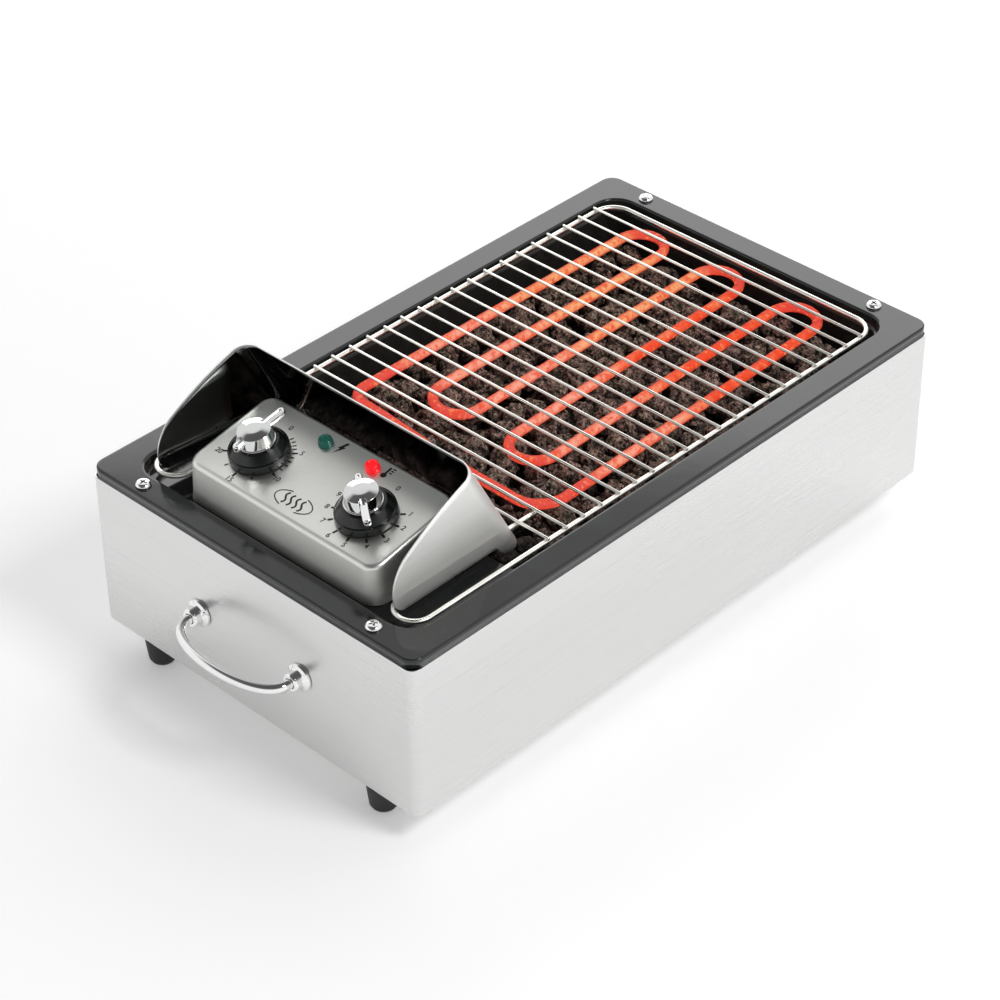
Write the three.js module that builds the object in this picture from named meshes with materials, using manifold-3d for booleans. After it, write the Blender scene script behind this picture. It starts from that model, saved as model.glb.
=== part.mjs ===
// Tabletop electric lava-rock barbecue: steel casing, enamelled tray full of lava rock, a lift-out
// heating unit with its control box, and a wire cooking grid that carries a heat shield.
// Millimetres, +Z up, +X across, -Y towards the control end; the origin is on the floor in the middle.
import * as THREE from 'three';
import { mergeVertices } from 'three/addons/utils/BufferGeometryUtils.js';
import Module from 'manifold-3d';

const wasm = await Module();
wasm.setup();

// ---- driving dimensions -------------------------------------------------------------------------
const WIDTH = 331;              // over the casing, across
const LENGTH = 562;             // over the casing, front to rear
const LIP_INSET = 0.5;          // how far the tray's lip stays inside the casing's faces
const RIM_TOP = 162.5;          // top of the enamelled rim
const LIP_HEIGHT = 8;           // the rim's turned-down edge
const FOOT_HEIGHT = 23;
const GAP = 0.3;                // between pieces that touch
const SHEET = 1.2;              // stainless steel sheet
const ENAMEL = 1.5;             // enamelled steel sheet

const OPENING_X = 142.5;        // half width of the tray's opening
const OPENING_Y = 259;          // half length of it
const OPENING_R = 20;
const WELL_FLOOR = 92;          // inside bottom of the rock well
const SHELF_TOP = 152.5;        // ledge under the control box
const SHELF_REAR = -152;        // where the ledge ends and the well begins
const ROCK_TOP = 134;

const BOX = { x: 97, front: -249.5, rear: -163, corner: 11, edge: 5 };
const PANEL_TILT = THREE.MathUtils.degToRad(11);
const PANEL_FRONT = { y: -250, z: 184 };   // a point of the tilted panel's plane
const TIMER = { x: -55, y: -213 };
const REGULATOR = { x: 52.8, y: -212 };
const REGULATOR_SETTING = 127;               // degrees clockwise from the dial's zero
const LAMPS = { green: { x: -22.6, y: -178.9 }, red: { x: 23.8, y: -177.7 } };
const LAMP_R = 5.7;

const RAIL_R = 2;               // cooking grid's frame wire
const RAIL_X = 136.7;
const RAIL_Y = 250;
const RAIL_Z = 160.5;
const LEG_X = 107.5;            // the frame's returned ends, beside the control box
const BAR_R = 1.25;
const BAR_HALF = 139;
const BAR_COUNT = 20;
const BAR_FIRST = 230;
const BAR_PITCH = 18.42;

const ELEMENT_R = 4;
const ELEMENT_Z = 156;
const ELEMENT_PITCH = 39.4;     // between its six straight runs
const ELEMENT_REAR = 239;
const ELEMENT_FRONT = -48;
const ELEMENT_SAG = 9.5;        // its front right part hangs this much lower
const TERMINAL_Y = -85;         // the two cross runs at the front
const TERMINAL_X = 12;
const TERMINAL_Z = 161;
const RISE = { front: -126, rear: -140 };    // where its ends step up to the control box

const SHIELD = { x: 117.5, sheet: 1, corner: 16, top: 238.5, lean: Math.tan(THREE.MathUtils.degToRad(28)) };

const HANDLE_X = 52.5;
const HANDLE_Z = 88;
const SCREW_X = 118;
const SCREW_Y = 270.5;
const FOOT_Y = 268;

const CASING_X = WIDTH / 2;
const CASING_Y = LENGTH / 2;
const LIP_X = CASING_X - LIP_INSET;
const LIP_Y = CASING_Y - LIP_INSET;
const CORNERS = [['front_left', -1, -1], ['front_right', 1, -1], ['rear_left', -1, 1], ['rear_right', 1, 1]];

// ---- materials ----------------------------------------------------------------------------------
const look = (color, roughness, metalness) => new THREE.MeshStandardMaterial({ color, roughness, metalness });
const brushedSteel = look(0xc9cac8, 0.35, 1);
const polishedSteel = look(0xb9bab6, 0.18, 1);
const chrome = look(0xe6e8e8, 0.06, 1);
const zincPlate = look(0xa9aba6, 0.4, 1);
const blackEnamel = look(0x25292a, 0.12, 0);
const blackPlastic = look(0x121314, 0.3, 0);
const blackRubber = look(0x161617, 0.8, 0);
const lavaRock = look(0x4a3835, 0.95, 0);
const hotElement = look(0xff5a35, 0.5, 0);
const greenLens = look(0x0f6b58, 0.2, 0);
const redLens = look(0xe01522, 0.2, 0);
const ceramic = look(0xe9e4d8, 0.6, 0);

// ---- solids: joining and cutting ----------------------------------------------------------------
function solid(geometry) {
  const bare = geometry.clone();
  bare.deleteAttribute('normal');
  bare.deleteAttribute('uv');
  const merged = mergeVertices(bare, 1e-4);
  const vertProperties = new Float32Array(merged.attributes.position.array);
  const triVerts = new Uint32Array(merged.index.array);
  return new wasm.Manifold(new wasm.Mesh({ numProp: 3, vertProperties, triVerts }));
}

function geometryOf(manifold) {
  const mesh = manifold.getMesh();
  const geometry = new THREE.BufferGeometry();
  geometry.setAttribute('position', new THREE.BufferAttribute(new Float32Array(mesh.vertProperties), 3));
  geometry.setIndex(new THREE.BufferAttribute(new Uint32Array(mesh.triVerts), 1));
  return geometry;
}

const cut = (body, ...tools) => tools.reduce((rest, tool) => rest.subtract(tool), body);
const join = (body, ...others) => others.reduce((sum, other) => sum.add(other), body);

// ---- shapes -------------------------------------------------------------------------------------
function boxBetween(low, high) {
  const size = high.map((value, axis) => value - low[axis]);
  const middle = high.map((value, axis) => (value + low[axis]) / 2);
  return new THREE.BoxGeometry(...size).translate(...middle);
}

// A cylinder from point a to point b.
function rod(a, b, radius, sides = 16) {
  const from = new THREE.Vector3(...a);
  const along = new THREE.Vector3(...b).sub(from);
  const geometry = new THREE.CylinderGeometry(radius, radius, along.length(), sides);
  geometry.translate(0, along.length() / 2, 0);
  geometry.applyQuaternion(new THREE.Quaternion().setFromUnitVectors(new THREE.Vector3(0, 1, 0), along.normalize()));
  return geometry.translate(...a);
}

// Stands an outline drawn in side view, as (y, z), up across X.
const SIDE_VIEW = new THREE.Matrix4().makeBasis(
  new THREE.Vector3(0, 1, 0), new THREE.Vector3(0, 0, 1), new THREE.Vector3(1, 0, 0));

// A turned piece about the Z axis from [radius, height] pairs.
function turned(profile, sides = 24) {
  const points = profile.map(([radius, height]) => new THREE.Vector2(radius, height));
  return new THREE.LatheGeometry(points, sides).rotateX(Math.PI / 2);
}

// Rounded rectangle with the same number of points whatever its size.
function roundedOutline(x0, y0, x1, y1, radius, steps = 4) {
  const shape = new THREE.Shape();
  shape.absarc(x1 - radius, y1 - radius, radius, 0, Math.PI / 2);
  shape.absarc(x0 + radius, y1 - radius, radius, Math.PI / 2, Math.PI);
  shape.absarc(x0 + radius, y0 + radius, radius, Math.PI, 1.5 * Math.PI);
  shape.absarc(x1 - radius, y0 + radius, radius, 1.5 * Math.PI, 2 * Math.PI);
  return shape.getPoints(steps / 2);
}

// A closed solid through rings that all have the same number of points, from the lowest ring up.
function loft(rings) {
  const count = rings[0].length;
  const index = [];
  for (let level = 0; level + 1 < rings.length; level++) {
    for (let i = 0; i < count; i++) {
      const next = (i + 1) % count;
      const [a, b] = [level * count + i, level * count + next];
      index.push(a, b, b + count, a, b + count, a + count);
    }
  }
  const caps = THREE.ShapeUtils.triangulateShape(rings[0].map((p) => new THREE.Vector2(p.x, p.y)), []);
  const last = (rings.length - 1) * count;
  for (const [a, b, c] of caps) {
    index.push(a, c, b, last + a, last + b, last + c);
  }
  const geometry = new THREE.BufferGeometry().setFromPoints(rings.flat());
  geometry.setIndex(index);
  return geometry;
}

// A rounded rectangular block, centred on the origin in plan, through [inset, height] levels.
function block(halfX, halfY, radius, levels, steps = 4) {
  return loft(levels.map(([inset, z]) => {
    const [x, y] = [halfX - inset, halfY - inset];
    return roundedOutline(-x, -y, x, y, radius - inset, steps).map((p) => new THREE.Vector3(p.x, p.y, z));
  }));
}

// [inset, height] levels of a quarter-round edge that ends flush at the given top height.
function roundedEdge(radius, top, steps = 3) {
  const levels = [];
  for (let i = 0; i <= steps; i++) {
    const angle = (i / steps) * Math.PI / 2;
    levels.push([radius * (1 - Math.cos(angle)), top - radius + radius * Math.sin(angle)]);
  }
  return levels;
}

// A wire's centre line that puts one ring of the tube on each of its points.
class WirePath extends THREE.Curve {
  constructor(points) {
    super();
    this.points = points;
  }

  getPoint(t) {
    const place = t * (this.points.length - 1);
    const i = Math.min(Math.floor(place), this.points.length - 2);
    return this.points[i].clone().lerp(this.points[i + 1], place - i);
  }

  getPointAt(u) {
    return this.getPoint(u);
  }

  getTangentAt(u) {
    const last = this.points.length - 1;
    const i = Math.round(u * last);
    const tangent = new THREE.Vector3();
    if (i > 0) {
      tangent.add(this.points[i].clone().sub(this.points[i - 1]).normalize());
    }
    if (i < last) {
      tangent.add(this.points[i + 1].clone().sub(this.points[i]).normalize());
    }
    return tangent.normalize();
  }
}

// Points of a wire bent at [x, y, z, bend radius] corners, with arcs at the bends.
function bentWire(corners, steps) {
  const at = corners.map(([x, y, z]) => new THREE.Vector3(x, y, z));
  const points = [at[0]];
  for (let i = 1; i + 1 < at.length; i++) {
    const back = at[i - 1].clone().sub(at[i]).normalize();
    const ahead = at[i + 1].clone().sub(at[i]).normalize();
    const half = back.angleTo(ahead) / 2;
    const radius = corners[i][3];
    const centre = back.clone().add(ahead).normalize().multiplyScalar(radius / Math.sin(half)).add(at[i]);
    const start = back.multiplyScalar(radius / Math.tan(half)).add(at[i]).sub(centre);
    const end = ahead.multiplyScalar(radius / Math.tan(half)).add(at[i]).sub(centre);
    const axis = start.clone().cross(end).normalize();
    for (let k = 0; k <= steps; k++) {
      points.push(start.clone().applyAxisAngle(axis, (Math.PI - 2 * half) * k / steps).add(centre));
    }
  }
  points.push(at[at.length - 1]);
  return points.filter((point, i) => i === 0 || point.distanceTo(points[i - 1]) > 0.01);
}

function tube(points, radius, sides) {
  const section = new THREE.Shape();
  for (let i = 0; i < sides; i++) {
    const angle = (i / sides) * 2 * Math.PI;
    const [x, y] = [radius * Math.cos(angle), radius * Math.sin(angle)];
    section[i === 0 ? 'moveTo' : 'lineTo'](x, y);
  }
  const extrudePath = new WirePath(points);
  return new THREE.ExtrudeGeometry(section, { steps: points.length - 1, extrudePath, bevelEnabled: false });
}

// ---- the assembly -------------------------------------------------------------------------------
const grill = new THREE.Group();

function add(name, shape, material, parent = grill) {
  const mesh = new THREE.Mesh(shape instanceof THREE.BufferGeometry ? shape : geometryOf(shape), material);
  mesh.name = name;
  parent.add(mesh);
}

// ---- casing: four walls, base plate, feet -------------------------------------------------------
const FLANGE = 24;              // width of the walls' inward fold at the bottom
const CASING_TOP = RIM_TOP - LIP_HEIGHT - GAP;
const CASING_R = 8;
const FOOT_SCREW_R = 2.2;
const BASE_UNDER = FOOT_HEIGHT + SHEET + GAP;
const HANDLE_SCREW_R = 2;
const GLAND = { x: 95, z: 52, r: 6 };

function outerCasing() {
  const walls = solid(block(CASING_X, CASING_Y, CASING_R, [[0, FOOT_HEIGHT], [0, CASING_TOP]]));
  const inside = solid(block(CASING_X - SHEET, CASING_Y - SHEET, CASING_R - SHEET,
    [[0, FOOT_HEIGHT + SHEET], [0, CASING_TOP + 1]]));
  const bottom = solid(boxBetween([FLANGE - CASING_X, FLANGE - CASING_Y, 0], [CASING_X - FLANGE, CASING_Y - FLANGE, 50]));
  const holes = [];
  for (const [, sideX, sideY] of CORNERS) {
    const [x, y] = [sideX * SCREW_X, sideY * FOOT_Y];
    holes.push(solid(rod([x, y, 0], [x, y, 50], FOOT_SCREW_R + GAP, 8)));
    const [handleX, wall] = [sideX * HANDLE_X, sideY * CASING_Y];
    holes.push(solid(rod([handleX, wall - 5, HANDLE_Z], [handleX, wall + 5, HANDLE_Z], HANDLE_SCREW_R + GAP, 8)));
  }
  holes.push(solid(rod([GLAND.x, CASING_Y - 5, GLAND.z], [GLAND.x, CASING_Y + 5, GLAND.z], GLAND.r + GAP, 12)));
  return cut(walls, inside, bottom, ...holes);
}

function basePlate() {
  const [x, y] = [CASING_X - SHEET - 1, CASING_Y - SHEET - 1];
  const plate = solid(block(x, y, CASING_R - SHEET - 1, [[0, BASE_UNDER], [0, BASE_UNDER + SHEET]], 2));
  const holes = CORNERS.map(([, sideX, sideY]) => {
    const [holeX, holeY] = [sideX * SCREW_X, sideY * FOOT_Y];
    return solid(rod([holeX, holeY, 0], [holeX, holeY, 50], FOOT_SCREW_R + GAP, 8));
  });
  return cut(plate, ...holes);
}

function foot() {
  const [top, bottom, bore, counterbore] = [12.6, 10.4, FOOT_SCREW_R + GAP, 5];
  return turned([[bore, 7], [counterbore, 7], [counterbore, 0], [bottom - 3.4, 0], [bottom - 1, 1], [bottom, 3.4],
    [top, FOOT_HEIGHT - GAP], [bore, FOOT_HEIGHT - GAP], [bore, 7]], 12);
}

function footScrew() {
  const end = BASE_UNDER + SHEET + 4;
  return turned([[0, 3.6], [4, 3.6], [4.4, 4.4], [4.4, 6.7], [FOOT_SCREW_R, 6.7], [FOOT_SCREW_R, end], [0, end]], 8);
}

add('outer_casing', outerCasing(), brushedSteel);
add('base_plate', basePlate(), zincPlate);
for (const [corner, sideX, sideY] of CORNERS) {
  const [x, y] = [sideX * SCREW_X, sideY * FOOT_Y];
  add(`foot_${corner}`, foot().translate(x, y, 0), blackRubber);
  add(`foot_screw_${corner}`, footScrew().translate(x, y, 0), zincPlate);
}

// ---- handles ------------------------------------------------------------------------------------
const BOW_R = 3.8;
const ROSETTE_R = 11;
const ROSETTE_DEPTH = 11;
const BARREL_R = 7.6;
const BOW_END = 5.5;              // how far the bow goes into each rosette
const BOW_PULL = 44;            // how far the bow's curve is pulled out from the wall

// Straight ends in the rosettes, with one smooth bow between their mouths.
function handleBow() {
  const [end, mouth, reach] = [ROSETTE_DEPTH - BOW_END, ROSETTE_DEPTH + 1, BOW_PULL];
  const at = (x, out) => new THREE.Vector3(x, -CASING_Y - out, HANDLE_Z);
  const bow = new THREE.CubicBezierCurve3(at(-HANDLE_X, mouth), at(-HANDLE_X, reach), at(HANDLE_X, reach),
    at(HANDLE_X, mouth));
  return tube([at(-HANDLE_X, end), ...bow.getPoints(14), at(HANDLE_X, end)], BOW_R, 10);
}

// Turned about Y, its flat back on the casing wall and its socket facing out.
function handleRosette() {
  const [screwBore, socket] = [HANDLE_SCREW_R + GAP, BOW_R + GAP];
  const socketFloor = ROSETTE_DEPTH - BOW_END - GAP;
  return turned([[screwBore, GAP], [ROSETTE_R, GAP], [ROSETTE_R, 2.6], [ROSETTE_R - 1, 3.6], [BARREL_R, 3.6],
    [BARREL_R, ROSETTE_DEPTH - 1.4], [BARREL_R - 1.4, ROSETTE_DEPTH], [socket, ROSETTE_DEPTH],
    [socket, socketFloor], [screwBore, socketFloor], [screwBore, GAP]], 12).rotateX(Math.PI / 2);
}

function handleScrew() {
  const inside = -SHEET - GAP;
  return turned([[0, inside - 2.6], [3.4, inside - 2.6], [4, inside - 1.8], [4, inside], [HANDLE_SCREW_R, inside],
    [HANDLE_SCREW_R, 4], [0, 4]], 8).rotateX(Math.PI / 2);
}

for (const [end, turn] of [['front', 0], ['rear', Math.PI]]) {
  add(`handle_bow_${end}`, handleBow().rotateZ(turn), chrome);
}
for (const [corner, sideX, sideY] of CORNERS) {
  const turn = sideY < 0 ? 0 : Math.PI;
  const place = [sideX * HANDLE_X, sideY * CASING_Y, HANDLE_Z];
  add(`handle_rosette_${corner}`, handleRosette().rotateZ(turn).translate(...place), chrome);
  add(`handle_screw_${corner}`, handleScrew().rotateZ(turn).translate(...place), zincPlate);
}

// ---- cable gland in the rear wall ---------------------------------------------------------------
function cableGland() {
  const bore = 4;
  return turned([[bore, -7], [GLAND.r, -7], [GLAND.r, GAP], [9, GAP], [9, 8], [7.5, 10], [6.4, 15], [bore, 15],
    [bore, -7]], 12).rotateX(-Math.PI / 2).translate(GLAND.x, CASING_Y, GLAND.z);
}

function glandNut() {
  const [wall, thickness] = [CASING_Y - SHEET - GAP, 4];
  const hexagon = solid(rod([GLAND.x, wall - thickness, GLAND.z], [GLAND.x, wall, GLAND.z], 10.5, 6));
  return cut(hexagon, solid(rod([GLAND.x, wall - 9, GLAND.z], [GLAND.x, wall + 9, GLAND.z], GLAND.r + GAP, 12)));
}

add('cable_gland', cableGland(), blackPlastic);
add('gland_nut', glandNut(), blackPlastic);

// ---- enamelled tray: rim, rock well and the ledge under the control box -------------------------
const LIP_R = 4.5;
const ROLL_R = 5;               // the rim's roll into the opening
const RIM_SCREW_R = 2;
const RIM_CORNER = 11;
const LUG = { reach: 11, length: 14, height: 6, front: -190, middle: 30, rear: 222 };

// The opening's hollow, flared at the rim by its rolled edge, or grown by the sheet's thickness.
function openingForm(floor, grow, top) {
  const levels = [[-grow, floor]];
  for (let i = 0; i <= 3; i++) {
    const angle = (i / 3) * Math.PI / 2;
    const inset = -grow - (ROLL_R - grow) * (1 - Math.cos(angle));
    levels.push([inset, RIM_TOP - ROLL_R + (ROLL_R - grow) * Math.sin(angle)]);
  }
  levels.push([-ROLL_R, top]);
  return solid(block(OPENING_X, OPENING_Y, OPENING_R, levels));
}

function enamelTray() {
  const rimLevels = [[0, RIM_TOP - LIP_HEIGHT], ...roundedEdge(LIP_R, RIM_TOP)];
  const rim = solid(block(LIP_X, LIP_Y, RIM_CORNER, rimLevels));
  const underLevels = [[0, RIM_TOP - LIP_HEIGHT - 1], ...roundedEdge(LIP_R - ENAMEL, RIM_TOP - ENAMEL, 2)];
  const under = solid(block(LIP_X - ENAMEL, LIP_Y - ENAMEL, RIM_CORNER - ENAMEL, underLevels));
  const wellOutside = openingForm(WELL_FLOOR - ENAMEL, ENAMEL, RIM_TOP - ENAMEL / 2);
  const underShelf = solid(boxBetween([-200, -300, 50], [200, SHELF_REAR - ENAMEL, SHELF_TOP - ENAMEL]));
  const shelf = solid(boxBetween([-200, -300, 50], [200, SHELF_REAR, SHELF_TOP]));
  const well = cut(openingForm(WELL_FLOOR, 0, RIM_TOP + 2), shelf);
  const holes = CORNERS.map(([, sideX, sideY]) => {
    const [x, y] = [sideX * SCREW_X, sideY * SCREW_Y];
    return solid(rod([x, y, 150], [x, y, 170], RIM_SCREW_R + GAP, 8));
  });
  return cut(join(cut(rim, under), cut(wellOutside, underShelf)), well, ...holes).add(restLugs());
}

// Small ledges on the tray's side walls that the cooking grid's frame rests on.
function restLugs() {
  const top = RAIL_Z - RAIL_R - GAP;
  const lugs = [];
  for (const y of [LUG.front, LUG.middle, LUG.rear]) {
    const bottom = y === LUG.front ? SHELF_TOP - ENAMEL / 2 : top - LUG.height;
    for (const side of [-1, 1]) {
      const [inner, outer] = [OPENING_X - LUG.reach, OPENING_X + ENAMEL / 2];
      const lug = boxBetween([inner, y, bottom], [outer, y + LUG.length, top]);
      lugs.push(solid(side > 0 ? lug : lug.translate(-inner - outer, 0, 0)));
    }
  }
  return join(...lugs);
}

function rimScrew() {
  const head = turned([[0, -14], [RIM_SCREW_R, -14], [RIM_SCREW_R, GAP], [6, GAP], [6, 1.4], [5.2, 2.6], [3.4, 3.4],
    [0, 3.6]], 12);
  const slotA = solid(boxBetween([-3, -0.6, 1.8], [3, 0.6, 5]));
  const slotB = solid(boxBetween([-0.6, -3, 1.8], [0.6, 3, 5]));
  return geometryOf(cut(solid(head), slotA, slotB));
}

// Angle that the rim screw pulls down on: one leg under the rim, one down the inside of the end wall.
function cornerBracket(sideY) {
  const [width, thickness, drop, bevel] = [24, 2, 30, 3];
  const top = RIM_TOP - ENAMEL - GAP;
  const [inner, outer] = [OPENING_Y + ROLL_R + 1, Math.min(CASING_Y - SHEET, LIP_Y - ENAMEL) - GAP];
  const outline = new THREE.Shape([[inner, top - thickness], [inner, top], [outer - bevel, top], [outer, top - bevel],
    [outer, top - drop], [outer - thickness, top - drop], [outer - thickness, top - bevel - 0.8],
    [outer - bevel - 0.8, top - thickness]].map(([y, z]) => new THREE.Vector2(y, z)));
  const bar = new THREE.ExtrudeGeometry(outline, { depth: width, bevelEnabled: false }).translate(0, 0, -width / 2);
  bar.applyMatrix4(SIDE_VIEW);
  const hole = solid(rod([0, SCREW_Y, 140], [0, SCREW_Y, 170], RIM_SCREW_R + GAP, 8));
  const bracket = geometryOf(cut(solid(bar), hole));
  return sideY > 0 ? bracket : bracket.rotateZ(Math.PI);
}

add('enamel_tray', enamelTray(), blackEnamel);
for (const [corner, sideX, sideY] of CORNERS) {
  const [x, y] = [sideX * SCREW_X, sideY * SCREW_Y];
  add(`rim_screw_${corner}`, rimScrew().rotateZ(0.4 * sideX + sideY).translate(x, y, RIM_TOP), chrome);
  add(`corner_bracket_${corner}`, cornerBracket(sideY).translate(x, 0, 0), zincPlate);
}

// ---- lava rock: one bed with a lumpy top --------------------------------------------------------
const ROCKS = { x: 134, front: -146, rear: 251, cell: 25, rise: 4 };

function lavaRockBed() {
  const [width, length, height] = [2 * ROCKS.x, ROCKS.rear - ROCKS.front, ROCK_TOP - WELL_FLOOR - GAP];
  const [columns, rows] = [Math.round(width / ROCKS.cell), Math.round(length / ROCKS.cell)];
  const bed = new THREE.BoxGeometry(width, length, height, columns, rows, 1);
  bed.translate(0, (ROCKS.rear + ROCKS.front) / 2, WELL_FLOOR + GAP + height / 2);
  const position = bed.attributes.position;
  for (let i = 0; i < position.count; i++) {
    if (position.getZ(i) > ROCK_TOP - 1) {
      const [x, y] = [position.getX(i), position.getY(i)];
      const lumps = Math.sin(x * 0.29 + 0.7 * Math.sin(y * 0.11)) * Math.sin(y * 0.26 + 0.9 * Math.sin(x * 0.13));
      position.setZ(i, ROCK_TOP + ROCKS.rise * lumps);
    }
  }
  return bed;
}

add('lava_rock_bed', lavaRockBed(), lavaRock);

// ---- control box --------------------------------------------------------------------------------
const slope = Math.tan(PANEL_TILT);
const panelZ = (y) => PANEL_FRONT.z + (y - PANEL_FRONT.y) * slope;
const BOX_BOTTOM = SHELF_TOP + GAP;
const GLAND_R = 4.9;            // element gland's barrel

// The drawn cover's outside, or with a wall thickness taken off, its inside.
function boxForm(inset, bottom) {
  const [x, front, rear] = [BOX.x - inset, BOX.front + inset, BOX.rear - inset];
  const [corner, edge] = [BOX.corner - inset, BOX.edge - inset];
  const ring = (shrink, height) => roundedOutline(-x + shrink, front + shrink, x - shrink, rear - shrink,
    corner - shrink).map((p) => new THREE.Vector3(p.x, p.y, height(p.y)));
  const rings = [ring(0, () => bottom)];
  for (const [shrink, drop] of roundedEdge(edge, 0)) {
    rings.push(ring(shrink, (y) => panelZ(y) - inset + drop));
  }
  return solid(loft(rings));
}

// A tool or piece given in the panel's own frame: +Z out of the panel, origin on its surface.
function onPanel(geometry, { x, y }) {
  return geometry.rotateX(PANEL_TILT).translate(x, y, panelZ(y));
}

const SPINDLE_R = 3;
const LAMP_HOLE_R = 4.8;

function controlBoxCover() {
  const tools = [TIMER, REGULATOR].map((spot) => solid(onPanel(rod([0, 0, -5], [0, 0, 5], SPINDLE_R + 1.5, 16), spot)));
  for (const spot of Object.values(LAMPS)) {
    tools.push(solid(onPanel(rod([0, 0, -5], [0, 0, 5], LAMP_HOLE_R, 16), spot)));
  }
  for (const x of [-TERMINAL_X, TERMINAL_X]) {
    tools.push(solid(rod([x, BOX.rear - 5, TERMINAL_Z], [x, BOX.rear + 5, TERMINAL_Z], GLAND_R + GAP, 16)));
  }
  return cut(boxForm(0, BOX_BOTTOM), boxForm(SHEET, BOX_BOTTOM - 1), ...tools);
}

function controlBoxBase() {
  const inset = SHEET + GAP;
  const [x, front, rear, radius] = [BOX.x - inset, BOX.front + inset, BOX.rear - inset, BOX.corner - inset];
  const pan = (shrink, z0, z1) => solid(loft([z0, z1].map((z) => roundedOutline(-x + shrink, front + shrink,
    x - shrink, rear - shrink, radius - shrink).map((p) => new THREE.Vector3(p.x, p.y, z)))));
  const notches = [-TERMINAL_X, TERMINAL_X].map((notchX) => solid(
    boxBetween([notchX - 11, rear - 5, BOX_BOTTOM + SHEET], [notchX + 11, rear + 5, BOX_BOTTOM + 20])));
  return cut(pan(0, BOX_BOTTOM, BOX_BOTTOM + 8), pan(SHEET, BOX_BOTTOM + SHEET, BOX_BOTTOM + 9), ...notches);
}

// A switch body hung under the panel, with a bore for its knob's spindle.
function switchBody(size, depth) {
  const under = -SHEET - GAP;
  const casing = solid(boxBetween([-size / 2, -size / 2, under - depth], [size / 2, size / 2, under]));
  return cut(casing, solid(rod([0, 0, under - depth / 2], [0, 0, 1], SPINDLE_R + GAP, 16)));
}

function terminalBlock() {
  const [halfX, halfY, low, high] = [17, 8, BOX_BOTTOM + SHEET + GAP, BOX_BOTTOM + SHEET + 14];
  const wireHoles = [-11, 0, 11].map((x) => solid(rod([x, -20, 160], [x, 20, 160], 2.2, 8)));
  const block = geometryOf(cut(solid(boxBetween([-halfX, -halfY, low], [halfX, halfY, high])), ...wireHoles));
  return block.translate(-9, -215, 0);
}

function lampLens() {
  const r = LAMP_R;
  return turned([[0, GAP], [r, GAP], [r, 2.6], [r - 0.6, 3.8], [r - 2, 4.6], [0, 5]], 12);
}

function lampBody() {
  const r = LAMP_HOLE_R - GAP;
  return turned([[0, -18], [r - 1, -18], [r - 1, -12], [r, -12], [r, 0], [0, 0]], 12);
}

add('control_box_cover', controlBoxCover(), brushedSteel);
add('control_box_base', controlBoxBase(), zincPlate);
add('timer_body', onPanel(geometryOf(switchBody(42, 18)), TIMER), zincPlate);
add('regulator_body', onPanel(geometryOf(switchBody(36, 18)), REGULATOR), ceramic);
add('terminal_block', terminalBlock(), ceramic);
for (const [colour, lens] of [['green', greenLens], ['red', redLens]]) {
  add(`lamp_lens_${colour}`, onPanel(lampLens(), LAMPS[colour]), lens);
  add(`lamp_body_${colour}`, onPanel(lampBody(), LAMPS[colour]), blackPlastic);
}

// ---- heating element ----------------------------------------------------------------------------
function heatingElement() {
  const z = ELEMENT_Z;
  const [outer, bend] = [2.5 * ELEMENT_PITCH, ELEMENT_PITCH / 2];
  const corners = [[-TERMINAL_X, BOX.rear - 16, TERMINAL_Z], [-TERMINAL_X, RISE.rear, TERMINAL_Z, 12], [-TERMINAL_X, RISE.front, z, 12],
    [-TERMINAL_X, TERMINAL_Y, z, 9], [-outer, TERMINAL_Y, z, 15]];
  for (let run = 0; run < 6; run++) {
    const x = run * ELEMENT_PITCH - outer;
    const ends = run % 2 === 0 ? [ELEMENT_FRONT, ELEMENT_REAR] : [ELEMENT_REAR, ELEMENT_FRONT];
    if (run > 0) {
      corners.push([x, ends[0], z, bend]);
    }
    if (run < 5) {
      corners.push([x, ends[1], z, bend]);
    }
  }
  corners.push([outer, TERMINAL_Y, z, 25], [TERMINAL_X, TERMINAL_Y, z, 9], [TERMINAL_X, RISE.front, z, 12],
    [TERMINAL_X, RISE.rear, TERMINAL_Z, 12], [TERMINAL_X, BOX.rear - 16, TERMINAL_Z]);
  const points = bentWire(corners, 4);
  for (const point of points) {
    const across = THREE.MathUtils.smoothstep(point.x, -outer, 0.4 * outer);
    const along = THREE.MathUtils.clamp((ELEMENT_REAR - point.y) / (ELEMENT_REAR - TERMINAL_Y), 0, 1);
    const atBox = THREE.MathUtils.clamp((RISE.front - 4 - point.y) / 10, 0, 1);
    point.z -= ELEMENT_SAG * across * along * (1 - atBox);
  }
  return tube(points, ELEMENT_R, 8);
}

// Collar, barrel through the box's rear wall and nut inside it.
function elementGland() {
  const [bore, wall] = [ELEMENT_R + GAP, SHEET + 2 * GAP];
  return turned([[bore, -wall - 3], [GLAND_R + 1.4, -wall - 3], [GLAND_R + 1.4, -wall], [GLAND_R, -wall], [GLAND_R, 0],
    [GLAND_R + 1.4, 0], [GLAND_R + 1.4, 3], [bore, 4], [bore, -wall - 3]], 12).rotateX(-Math.PI / 2);
}

add('heating_element', heatingElement(), hotElement);
for (const [side, x] of [['left', -TERMINAL_X], ['right', TERMINAL_X]]) {
  add(`element_gland_${side}`, elementGland().translate(x, BOX.rear + GAP, TERMINAL_Z), chrome);
}

// ---- knobs --------------------------------------------------------------------------------------
const SKIRT_TOP = 13;
const CAP = { r: 14.5, topR: 12.4, top: 25 };
const LEVER = { pointer: 29.5, tail: 20, width: 6, low: 17, high: 22 };   // lengths from the knob's axis

function knobSkirt() {
  const bore = SPINDLE_R + GAP;
  return turned([[bore, 0.8], [23, 0.8], [22.4, 6.4], [21.2, 7], [16.4, SKIRT_TOP], [0, SKIRT_TOP],
    [0, 10], [bore, 10], [bore, 0.8]], 24);
}

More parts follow.
